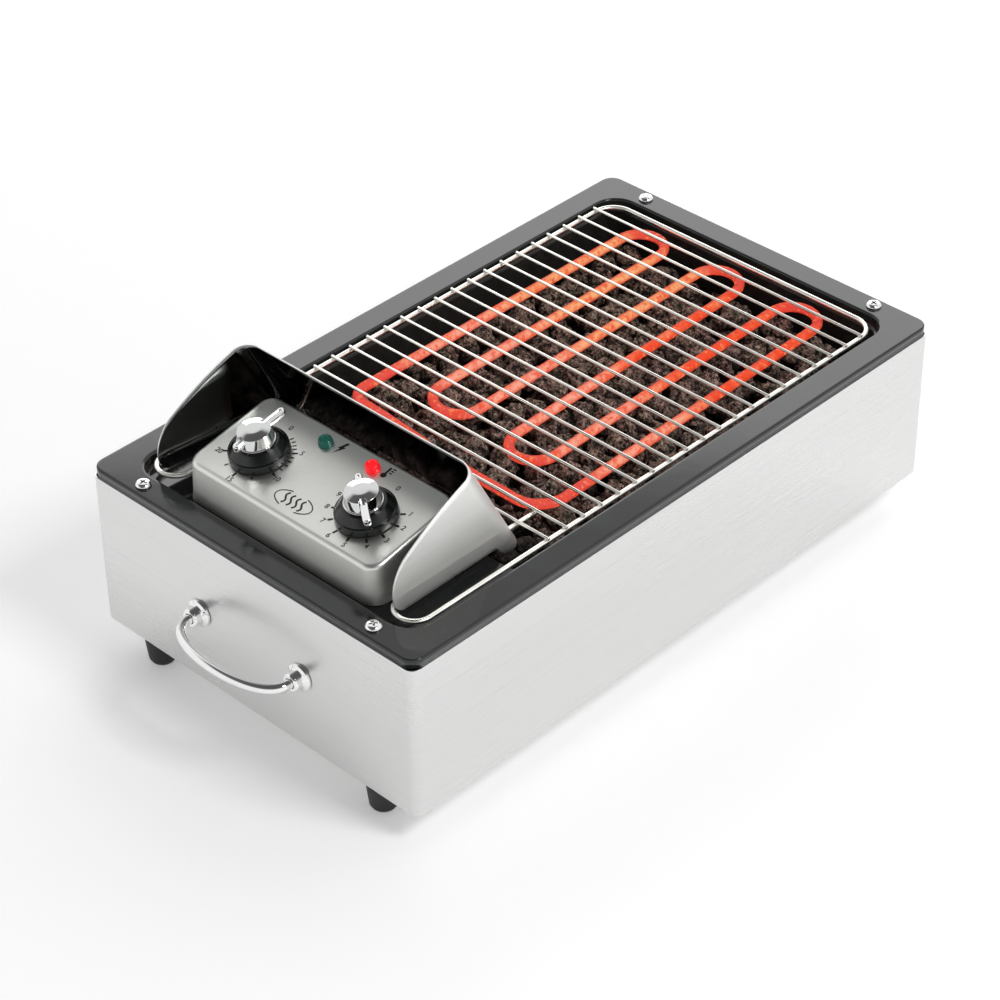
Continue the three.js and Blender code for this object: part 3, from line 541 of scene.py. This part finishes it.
def feet():
    profile = [(2.6, 22.7, 0.2), (2.6, 7), (5, 7, 0.3), (5, 0, 0.4), (8.4, 0, 2.6), (10.6, 3.6, 3.0), (12.6, 22.7, 0.8)]
    for corner, (side_x, side_y) in CORNERS.items():
        form = moved(lathe(profile, 64, 5, True), Matrix.Translation((side_x * SCREW_X, side_y * FOOT_Y, 0)))
        piece(f"rubber_foot_{corner}", form, rubber, "casing", [f"foot_{corner}"])


def handles():
    """Chrome bows with a rosette at each end."""
    flange = [(2.5, 0.3), (11, 0.3, 0.4), (11, 2.4, 1.0), (8.6, 3.6, 1.6), (7.5, 4.8, 1.2), (7.5, 9.6, 1.6),
              (6.2, 11, 0.6), (4.2, 11, 0.4), (4.2, 5.2), (2.5, 5.2)]
    for end, side_y in (("front", -1), ("rear", 1)):
        outwards = Matrix.Rotation(0 if side_y < 0 else math.pi, 4, "Z")
        mouth, reach = WALL_Y + 12, WALL_Y + 44
        anchors = [(x, -y, HANDLE_Z) for x, y in ((-HANDLE_X, mouth), (-HANDLE_X, reach), (HANDLE_X, reach),
                                                  (HANDLE_X, mouth))]
        root_left, root_right = [(x, -WALL_Y - 5.6, HANDLE_Z) for x in (-HANDLE_X, HANDLE_X)]
        path = [root_left, *(bezier(anchors, k / 48) for k in range(49)), root_right]
        piece(f"handle_{end}", moved(sweep(path, 3.8, 28), outwards), chrome, "casing",
              [f"handle_bow_{end}"])
        for corner, (side_x, corner_y) in CORNERS.items():
            if corner_y == side_y:
                place = Matrix.Translation((side_x * HANDLE_X, side_y * WALL_Y, HANDLE_Z)) @ outwards
                form = moved(lathe(flange, 64, 4, True), place @ Matrix.Rotation(math.pi / 2, 4, "X"))
                piece(f"rosette_{corner}", form, chrome, "casing", [f"handle_rosette_{corner}"])


def cable_inlet():
    """The gland in the rear wall: a hexagon, a dome nut with ribs and an open mouth for the cord."""
    body = lathe([(4, -7), (6, -7, 0.3), (6, 0.3), (9, 0.3, 0.3), (9, 3.5, 0.5), (8.2, 4.2, 0.3), (8.2, 8.6, 1.4),
                  (6.4, 14.7, 1.2), (4, 14.7, 0.4)], 48, 4, True)
    ribs = [moved(box_form((7.6, -0.7, 4.4), (8.7, 0.7, 8.4)), Matrix.Rotation(math.radians(30 * k), 4, "Z"))
            for k in range(12)]
    place = Matrix.Translation((95, WALL_Y, 52)) @ Matrix.Rotation(-math.pi / 2, 4, "X")
    piece("cable_inlet", moved(merged(body, *ribs), place), gland_plastic, "casing", ["cable_gland"])


def tray():
    """Enamelled sheet: turned-down lip, flat rim, rolled edge, and a well with a ledge for the control box."""
    rim = arc_levels([(0.3, 154.8), (0.3, RIM_TOP, 1.1), (2.4, RIM_TOP)], 4)
    rings = slab(WALL_X, WALL_Y, 11.5, rim, 10)
    roll = 1.8
    well = [(-2.6, RIM_TOP)]
    for k in range(7):
        angle = math.pi / 2 * k / 6
        well.append((-roll + roll * math.sin(angle), RIM_TOP - roll + roll * math.cos(angle)))
    rings += slab(OPENING_X, OPENING_Y, OPENING_R, well, 10)
    ledge_corner = arc_levels([(0, SHELF_TOP + 6), (0, SHELF_TOP, 3), (4, SHELF_TOP)], 4)[1:-1]
    rings += slab(OPENING_X, OPENING_Y, OPENING_R, ledge_corner, 10)
    lower = [(2.6, SHELF_TOP), (3.2, SHELF_TOP - 0.6), (3.4, SHELF_TOP - 1.8), (4.5, WELL_FLOOR + 4),
             (5.6, WELL_FLOOR + 1.2), (8.5, WELL_FLOOR)]
    for inset, z in lower:
        points = outline(inset - OPENING_X, SHELF_REAR + inset - 3.2, OPENING_X - inset, OPENING_Y - inset,
                         max(14 - inset, 2), 10)
        rings.append([Vector((x, y, z)) for x, y in points])
    item = piece("fire_tray", skin(rings, low=False), enamel, "casing", ["enamel_tray"], 40)
    thicken(item, 1.3)


def rim_screws():
    """Pan heads with a cross recess."""
    head = lathe([(0, -13), (2, -13, 0.4), (2, 0.2), (6, 0.2, 0.3), (6, 1.2, 0.8), (4.8, 3.0, 2.2), (0, 3.6)], 48, 5)
    slots = [(3.3, 0.75), (0.75, 3.3)]
    for corner, (side_x, side_y) in CORNERS.items():
        place = Matrix.Translation((side_x * SCREW_X, side_y * SCREW_Y, RIM_TOP))
        place = place @ Matrix.Rotation(0.4 * side_x + side_y, 4, "Z")
        item = piece(f"pan_screw_{corner}", moved(head, place), chrome, "casing", [f"rim_screw_{corner}"])
        for x, y in slots:
            rings = []
            for k, z in ((0.78, 0.8), (1.05, 4.5)):
                rings.append([Vector((a * x * k, b * y * k, z)) for a, b in ((-1, -1), (1, -1), (1, 1), (-1, 1))])
            carve(item, moved(skin(rings), place))


def stone(centre, size, detail, seed):
    """One lump of lava rock: a ball broken into lumps and hollows by noise."""
    points, faces = ball(detail)
    turn = Matrix.Rotation(seed.uniform(0, 6.28), 3, Vector((seed.uniform(-1, 1), seed.uniform(-1, 1), 1)).normalized())
    stretch = Vector((seed.uniform(0.85, 1.25), seed.uniform(0.75, 1.05), seed.uniform(0.7, 0.95))) * size
    offset = Vector((seed.uniform(0, 90), seed.uniform(0, 90), seed.uniform(0, 90)))
    shaped = []
    for point in points:
        broad = noise.noise(point * 1.2 + offset)
        lumps = abs(noise.noise(point * 2.3 + offset * 2))
        crags = noise.turbulence(point * 3.6 + offset, 4, True)
        swell = 0.92 + 0.30 * broad - 0.42 * (0.28 - lumps) + 0.24 * (crags - 0.5)
        shaped.append(turn @ Vector(a * b for a, b in zip(point * swell, stretch)) + centre)
    return shaped, faces


balls = {}


def ball(detail):
    """The points and faces of a unit ball, kept for the next stone."""
    if detail not in balls:
        work = bmesh.new()
        bmesh.ops.create_icosphere(work, subdivisions=detail, radius=1)
        balls[detail] = ([vertex.co.copy() for vertex in work.verts],
                         [tuple(vertex.index for vertex in face.verts) for face in work.faces])
        work.free()
    return balls[detail]


def lava_rocks():
    """Loose stones in three layers. Each layer lies in the gaps of the one under it."""
    seed = random.Random(7)
    # name, height, stone size, pitch, detail of a stone, number of pieces, shift of every other row
    layers = [("lava_rocks_bottom", 108, 15.0, 30, 2, 1, 0), ("lava_rocks_middle", 119, 12.5, 23, 3, 1, 0.25),
              ("lava_rocks_top", 127, 11.2, 22.5, 3, 2, 0.5)]
    for name, height, size, pitch, detail, parts, shift in layers:
        rows, columns = int(392 / pitch), int(262 / pitch)
        stones = [[] for _ in range(parts)]
        for row in range(rows):
            for column in range(columns):
                across = (column + 0.5 + (shift if row % 2 else -shift) * 0.9) / columns
                x = -131 + 262 * across + seed.uniform(-0.28, 0.28) * pitch
                y = -142 + 389 * (row + 0.5) / rows + seed.uniform(-0.28, 0.28) * pitch
                grown = size * seed.uniform(0.72, 1.25)
                x = max(-130 + grown * 0.9, min(130 - grown * 0.9, x))
                y = max(-139 + grown * 0.9, min(246 - grown * 0.9, y))
                z = height + seed.uniform(-3.5, 3.5) - max(0, grown - size) * 0.8
                stones[row * parts // rows].append(stone(Vector((x, y, z)), grown, detail, seed))
        for part, lumps in enumerate(stones):
            piece(f"{name}_{part + 1}", merged(*lumps), rock, "casing", ["lava_rock_bed"], 180)


# ---- control box ----------------------------------------------------------------------------------
BOX_X, BOX_FRONT, BOX_REAR = 97, -249.5, -163
BOX_DRAFT, BOX_EDGE = 1.2, 3.5     # how far its walls lean in, and the radius round its panel


def edge_drop(x, y):
    """How far the rounded edge round the panel lies under the panel's plane."""
    inset = min(BOX_X - abs(x), y - BOX_FRONT, BOX_REAR - y) - BOX_DRAFT
    return BOX_EDGE - math.sqrt(max(BOX_EDGE ** 2 - (BOX_EDGE - inset) ** 2, 0)) if inset < BOX_EDGE else 0.0


def control_box():
    x, front, rear = BOX_X, BOX_FRONT, BOX_REAR
    rings = []

    def ring(inset, height, corner=13):
        points = outline(-x + inset, front + inset, x - inset, rear - inset, max(corner - inset, 0.6), 10)
        rings.append([Vector((px, py, height(py))) for px, py in points])

    ring(-0.7, lambda y: 152.8)
    ring(-0.5, lambda y: 153.5)
    ring(0.0, lambda y: 154.6)
    for k in range(9):
        angle = math.pi / 2 * k / 8
        inset, drop = BOX_DRAFT + BOX_EDGE * (1 - math.cos(angle)), BOX_EDGE * (math.sin(angle) - 1)
        ring(inset, lambda y, drop=drop: panel_z(y) + drop)
    for inset in (5.4, 8, 18, 40):
        ring(inset, panel_z, 30)
    item = piece("control_box", skin(rings, low=False), panel_steel, "heater_unit",
                 ["control_box_cover"], 40, materials=[lit_wall_steel])
    # The steep faces, the walls, take the lighter copy of the panel steel as painted light.
    for face in item.data.polygons:
        face.material_index = int(abs(face.normal.z) < 0.35)
    thicken(item, 1.0)


def flat(points):
    """A thin raised print in the panel's own frame, from its (x, y) outline."""
    return prism(points, 0.02, 0.10)


def ribbon(path, width):
    """Outline pieces of a line of even width through (x, y) points."""
    at = [Vector((x, y)) for x, y in path]
    sides = []
    for i, point in enumerate(at):
        ahead = at[min(i + 1, len(at) - 1)] - at[max(i - 1, 0)]
        across = Vector((-ahead.y, ahead.x)).normalized() * width / 2
        sides.append((point + across, point - across))
    return [flat([b, d, c, a]) for (a, b), (c, d) in zip(sides, sides[1:])]


def lettering(text, size, place):
    """A number as a thin raised print."""
    curve = bpy.data.curves.new("number", "FONT")
    curve.body, curve.size, curve.extrude, curve.offset = text, size, 0.04, 0.07
    curve.align_x, curve.align_y = "CENTER", "CENTER"
    item = bpy.data.objects.new("number", curve)
    bpy.context.scene.collection.objects.link(item)
    graph = bpy.context.evaluated_depsgraph_get()
    mesh = bpy.data.meshes.new_from_object(item.evaluated_get(graph))
    points = [place @ (vertex.co + Vector((0, 0, 0.06))) for vertex in mesh.vertices]
    faces = [tuple(polygon.vertices) for polygon in mesh.polygons]
    bpy.data.objects.remove(item)
    bpy.data.curves.remove(curve)
    bpy.data.meshes.remove(mesh)
    return points, faces


def dial(centre, ticks, numbers):
    """Ticks as (degrees, length, width) and numbers as (degrees, text), clockwise from the top."""
    forms = []
    inner, number_radius = 23.6, 31
    place = on_panel(*centre)
    for degrees, length, width in ticks:
        bar = flat([(-width / 2, inner), (width / 2, inner), (width / 2, inner + length), (-width / 2, inner + length)])
        forms.append(moved(bar, place @ Matrix.Rotation(-math.radians(degrees), 4, "Z")))
    for degrees, text in numbers:
        angle = math.radians(degrees)
        spot = Matrix.Translation((number_radius * math.sin(angle), number_radius * math.cos(angle), 0))
        forms.append(lettering(text, 6.2, place @ spot))
    return forms


def panel_print():
    """Dials, two small symbols and a plain oval mark with heat waves."""
    least_lift = 0.12       # by how much the print clears the panel where it runs over the rounded edge
    minutes = {1: 20, 2: 29, 3: 38, 4: 46.5, 5: 56, 6: 66, 7: 75.5, 8: 85, 9: 96.5, 10: 111, 12.5: 147, 15: 179,
               17.5: 208, 20: 241}
    ticks = [(degrees, 4.4 if minute % 5 == 0 else 3.0, 1.7 if minute % 5 == 0 else 1.25)
             for minute, degrees in minutes.items()]
    numbers = [(0, "0"), (56, "5"), (111, "10"), (179, "15"), (241, "20")]
    forms = dial(TIMER, ticks, numbers)
    steps = [0, 54, 80, 108.5, 135.5, 166, 195, 224.6, 250, 275]
    forms += dial(REGULATOR, [(degrees, 4.0, 1.8) for degrees in steps[1:]],
                  [(degrees, str(step)) for step, degrees in enumerate(steps)])
    bolt = [(0.5, 4.6), (2.1, 4.6), (0.9, 1.2), (2.3, 1.2), (-1.4, -4.8), (-0.3, -0.6), (-1.7, -0.6)]
    forms.append(moved(flat(bolt), on_panel(-10, -176.2) @ Matrix.Scale(1.35, 4)))
    bulb = [(1.7 * math.cos(a), -2.4 + 1.7 * math.sin(a)) for a in [k * math.pi / 8 for k in range(16)]]
    thermometer = [flat(bulb), *ribbon([(0, -1), (0, 3.6)], 1.2)]
    for height in (0.4, 2.0, 3.6):
        thermometer += ribbon([(1.4, height), (3.2, height)], 0.7)
    forms += [moved(form, on_panel(34.7, -174.7) @ Matrix.Scale(1.4, 4)) for form in thermometer]
    forms += [moved(form, on_panel(0.9, -232.9)) for form in oval_mark()]
    points, faces = merged(*forms)
    for point in points:
        drop = edge_drop(point.x, point.y)
        point.z -= drop - min(drop, least_lift)
    piece("panel_print", (points, faces), print_ink, "heater_unit", (), 30)


def oval_mark():
    """Two arcs of an oval with four waves between them."""
    forms = []
    for start, end in ((-65, 65), (115, 245)):
        arc = [math.radians(start + (end - start) * k / 24) for k in range(25)]
        forms += ribbon([(17.5 * math.cos(a), 8.0 * math.sin(a)) for a in arc], 0.9)
    for shift in (-8, -2.7, 2.7, 8):
        wave = [(shift + 1.5 * math.sin(k * math.pi / 6), -5.2 + 0.87 * k) for k in range(13)]
        forms += ribbon(wave, 1.5)
    return forms


def lamps():
    """Round lenses with a raised rim."""
    lens = [(0, 0.3), (5.7, 0.3, 0.2), (5.7, 1.5, 0.5), (5.1, 1.9, 0.2), (5.1, 4.3, 0.6), (4.5, 4.9, 0.3),
            (3.9, 4.9, 0.3), (3.3, 3.9, 0.5), (0, 4.1)]
    for colour, spot, material in (("green", (-22.6, -178.9), green_lens), ("red", (23.8, -177.7), red_lens)):
        piece(f"lens_{colour}", moved(lathe(lens, 48, 5), on_panel(*spot)), material, "heater_unit",
              [f"lamp_lens_{colour}"])


def element_path():
    """The sheath's centre line, from the left gland through six runs to the right gland, sagging at the front right."""
    outer, rear, front, cross = RUN_PITCH * (RUNS - 1) / 2, 239, -48, -85
    lead = [(BOX_REAR - 16, GLAND_Z), (-140, GLAND_Z, 12), (-126, ELEMENT_Z, 12), (cross, ELEMENT_Z, 9)]
    corners = [(-GLAND_X, *corner) for corner in lead] + [(-outer, cross, ELEMENT_Z, 15)]
    for run in range(RUNS):
        ends = [front, rear] if run % 2 == 0 else [rear, front]
        x = run * RUN_PITCH - outer
        if run > 0:
            corners.append((x, ends[0], ELEMENT_Z, RUN_PITCH / 2))
        if run < RUNS - 1:
            corners.append((x, ends[1], ELEMENT_Z, RUN_PITCH / 2))
    corners += [(outer, cross, ELEMENT_Z, 25), *((GLAND_X, *corner) for corner in reversed(lead))]
    path = []
    points = rounded(corners, 10)
    for a, b in zip(points, points[1:]):
        count = max(1, round((b - a).length / 12))
        path += [a.lerp(b, k / count) for k in range(count)]
    path.append(points[-1])
    path = [point for i, point in enumerate(path) if i == 0 or (point - path[i - 1]).length > 0.05]
    for point in path:
        across = min(max((point.x + outer) / (1.4 * outer), 0), 1)
        across = across * across * (3 - 2 * across)
        along = min(max((rear - point.y) / (rear - cross), 0), 1)
        at_box = min(max((-130 - point.y) / 10, 0), 1)
        point.z -= 9.5 * across * along * (1 - at_box)
    return path


def heating_element():
    piece("glowing_element", sweep(element_path(), SHEATH_RADIUS, 20), sheath, "heater_unit",
          ["heating_element"], 60)
    for side, x in (("left", -GLAND_X), ("right", GLAND_X)):
        collar = lathe([(4.3, -4.8), (6.3, -4.8, 0.2), (6.3, -1.8), (4.9, -1.8), (4.9, 0), (6.3, 0, 0.2), (6.3, 3, 0.5),
                        (4.3, 4, 0.3)], 32, 3, True)
        place = Matrix.Translation((x, BOX_REAR + 0.3, GLAND_Z)) @ Matrix.Rotation(-math.pi / 2, 4, "X")
        piece(f"element_collar_{side}", moved(collar, place), chrome, "heater_unit",
              [f"element_gland_{side}"])


# ---- knobs ----------------------------------------------------------------------------------------
def knob(name, spot, setting):
    """Skirt, chrome cap with a notch at both ends, and the lever bar that lies in the notches with a groove in it."""
    place = on_panel(*spot, setting)
    skirt = lathe([(3.3, 0.8), (23, 0.8, 0.5), (22.4, 6.4, 0.5), (21.2, 7.0, 0.6), (16.4, 13, 0.6), (0, 13), (0, 10),
                   (3.3, 10)], 96, 4, True)
    piece(f"{name}_skirt", moved(skirt, place), skirt_plastic, f"{name}_knob", [f"{name}_knob_skirt"])
    cap = lathe([(0, 13.3), (14.5, 13.3, 0.3), (14.5, 14.4, 0.4), (13.5, 14.7, 0.3), (12.5, 23.4, 0.5),
                 (10.6, 23.8, 1.2), (6, 24.9, 14), (0, 25)], 96, 6)
    item = piece(f"{name}_cap", moved(cap, place), cap_chrome, f"{name}_knob", [f"{name}_knob_cap"])
    for near, far in ((8.6, 20), (-20, -10.4)):
        carve(item, moved(prism(outline(-3.3, near, 3.3, far, 3.2, 6), 16.7, 30), place))
    section = arc_levels([(0.6, 17, 0.3), (0, 17.3, 0.3), (0, 21.2, 0.5), (0.8, 22, 0.3), (1.0, 22)], 2)
    lever = skin([[Vector((x, y, z)) for x, y in outline(-3 + i, -20 + i, 3 - i, 29.5 - i, 3 - i, 8)]
                  for i, z in section])
    bar = piece(f"{name}_lever", moved(lever, place), chrome, f"{name}_knob", [f"{name}_knob_lever"])
    groove = skin([[Vector((x * k, y, z)) for x, y in outline(-1.1, -18, 1.1, 27.5, 1.05, 5)]
                   for k, z in ((0.6, 21.0), (1.0, 22.5))])
    carve(bar, moved(groove, place))


# ---- cooking grid and heat shield -----------------------------------------------------------------
def cooking_grid():
    """One bent frame wire, whose ends turn back beside the control box, and the cross bars welded on it."""
    turn = (RAIL_X - LEG_X) / 2
    leg_end = REAR_BAR_Y - (BARS - 2) * BAR_PITCH + 2
    corners = [(-LEG_X, leg_end, RAIL_Z), (-LEG_X, -RAIL_Y, RAIL_Z, turn), (-RAIL_X, -RAIL_Y, RAIL_Z, turn),
               (-RAIL_X, RAIL_Y, RAIL_Z, 19), (RAIL_X, RAIL_Y, RAIL_Z, 19), (RAIL_X, -RAIL_Y, RAIL_Z, turn),
               (LEG_X, -RAIL_Y, RAIL_Z, turn), (LEG_X, leg_end, RAIL_Z)]
    forms = [sweep(rounded(corners, 14), 2, 20, nose=0.8)]
    seed = random.Random(3)
    for i in range(BARS):
        y, z = REAR_BAR_Y - i * BAR_PITCH, RAIL_Z + 2.85
        ends = [Vector((side * (139 - seed.uniform(0, 0.8)), y, z)) for side in (-1, 1)]
        forms.append(sweep([ends[0], ends[0].lerp(ends[1], 0.5), ends[1]], 1.25, 14, nose=0.4))
        for side in (-1, 1):
            forms.append(weld(Vector((side * RAIL_X, y, RAIL_Z + 1.9))))
    piece("wire_grid", merged(*forms), grid_chrome, "grid",
          ["grid_ladder", "grid_end_rear", "grid_end_left", "grid_end_right"], 50)


def weld(centre):
    """The small spread of metal where a bar is welded to the frame."""
    points, faces = ball(2)
    return [centre + Vector((p.x * 1.9, p.y * 1.7, p.z * 0.9)) for p in points], faces


SHIELD_X, SHIELD_R, SHIELD_TOP, SHIELD_FOOT = 117.5, 16, 238.5, 164.5
SHIELD_REAR = -128                    # where the rear wall meets the foot height
LEAN = math.tan(math.radians(28))


def wing_outline():
    """The wings' side view as (y, z) points, from the top round the front to the bottom rear."""
    brow = [(-168, SHIELD_TOP), (-207, 225), (-238, 202.5)]
    nose = [(-238, 202.5), (-251, 193), (-257, 166), (-242, 160)]
    hook = [(-152, 161), (-147, 160), (-144, 153)]
    points = [(-150, SHIELD_TOP), brow[0]]
    points += [bezier(brow, k / 16) for k in range(1, 17)]
    points += [bezier(nose, k / 24) for k in range(1, 25)]
    points.append(hook[0])
    points += [bezier(hook, k / 6) for k in range(1, 7)]
    return points + [(-138, 151), (-100, 151), (-100, SHIELD_TOP)]


def heights_along(run, profile):
    """Lowest and highest point where the leaning line through run at the foot height crosses the side view."""
    hits = []
    for (y0, z0), (y1, z1) in zip(profile, profile[1:] + profile[:1]):
        s0, s1 = y0 + (z0 - SHIELD_FOOT) * LEAN - run, y1 + (z1 - SHIELD_FOOT) * LEAN - run
        if (s0 <= 0 < s1) or (s1 <= 0 < s0):
            t = s0 / (s0 - s1)
            hits.append(z0 + (z1 - z0) * t)
    return (min(hits), max(hits)) if len(hits) >= 2 else None


def tall_enough(run, profile):
    """Whether the sheet is over 1 mm high there."""
    span = heights_along(run, profile)
    return span is not None and span[1] - span[0] > 1.0


def heat_shield():
    """One bent sheet: columns run up the lean of the rear wall, from the left wing round to the right one."""
    profile = wing_outline()
    half = []                      # (x, y at the foot height) from the middle of the rear wall to a wing's front
    bend_x, bend_y = SHIELD_X - SHIELD_R, SHIELD_REAR - SHIELD_R
    for x in (0, 25.5, 26.5, 60, 96, bend_x):
        half.append((x, SHIELD_REAR))
    for k in range(1, 13):
        angle = math.pi / 2 * k / 12
        half.append((bend_x + SHIELD_R * math.sin(angle), bend_y + SHIELD_R * math.cos(angle)))
    run = bend_y
    while tall_enough(run - 0.2, profile):
        run -= 2.0 if tall_enough(run - 2.0, profile) else 0.2
        half.append((SHIELD_X, run))
    columns = []
    for x, foot in half:
        low, high = heights_along(foot, profile)
        if x < 104.5:
            low = SHIELD_FOOT + 3 if x < 26 else SHIELD_FOOT      # the rear wall clears the element's two ends
        columns.append((x, foot, low, high))
    rows = 20
    points, faces = [], []
    crease_lift = {5: 0.05, 6: 0.10, 7: 0.05}
    both = [(-x, foot, low, high) for x, foot, low, high in reversed(columns[1:])] + columns
    for x, foot, low, high in both:
        creased = high - low > 18 and abs(x) == SHIELD_X
        for k in range(rows + 1):
            z = low + (high - low) * k / rows
            if creased:
                crease = max(low, 161) + 12
                below, above = crease - 1.6 - low, high - crease - 1.6
                if k < 5:
                    z = low + below * k / 4
                elif k < 9:
                    z = crease + 0.8 * (k - 6)
                else:
                    z = high - above * (rows - k) / 12
                x = math.copysign(SHIELD_X + crease_lift.get(k, 0), x)
            y = foot - (z - SHIELD_FOOT) * LEAN
            rear = SHIELD_REAR - (z - SHIELD_FOOT) * LEAN
            splay = 0.065 * max(0.0, rear - SHIELD_R - y) if x < 0 else 0
            points.append(Vector((x - splay, y, z)))
    for i in range(len(both) - 1):
        for k in range(rows):
            a = i * (rows + 1) + k
            faces.append((a, a + rows + 1, a + rows + 2, a + 1))
    item = piece("splash_shield", (points, faces), shield_steel, "grid", ["heat_shield"], 60,
                 materials=(shaded_shield_mirror,))
    # The inner side takes the dark polished steel, painted shade inside the shield.
    thicken(item, 1.0, 1)


casing_shell()
feet()
handles()
cable_inlet()
tray()
rim_screws()
lava_rocks()
control_box()
panel_print()
lamps()
heating_element()
knob("timer", TIMER, 0)
knob("regulator", REGULATOR, REGULATOR_SETTING)
cooking_grid()
heat_shield()

# ---- the CAD nodes that stay ----------------------------------------------------------------------
# Parts inside or underneath are drawn as they are in the CAD, with these materials.
kept = {
    "base_plate": zinc, "gland_nut": gland_plastic, "control_box_base": zinc, "timer_body": zinc,
    "regulator_body": ceramic, "terminal_block": ceramic, "lamp_body_green": gland_plastic,
    "lamp_body_red": gland_plastic, "timer_knob_spindle": zinc, "regulator_knob_spindle": zinc,
}
for corner in CORNERS:
    for part in ("foot_screw", "handle_screw", "corner_bracket"):
        kept[f"{part}_{corner}"] = zinc
for node, material in kept.items():
    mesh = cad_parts[node].data
    mesh.materials.clear()
    mesh.materials.append(material)


def add_floor():
    """A plain pale floor, just under the feet."""
    shader = Shader("floor", {"Roughness": 0.9, "Emission Color": (1, 1, 1, 1), "Emission Strength": 0.25})
    shader.drive("Base Color", shader.blend(shader.noise(3.0, 2.0), (0.87, 0.87, 0.87), (0.90, 0.90, 0.90)))
    mesh = bpy.data.meshes.new("floor")
    mesh.from_pydata([(x, y, -0.0003) for x, y in ((-9, -9), (9, -9), (9, 9), (-9, 9))], [], [(0, 1, 2, 3)])
    mesh.materials.append(shader.material)
    floor = bpy.data.objects.new("floor", mesh)
    bpy.context.scene.collection.objects.link(floor)


add_floor()
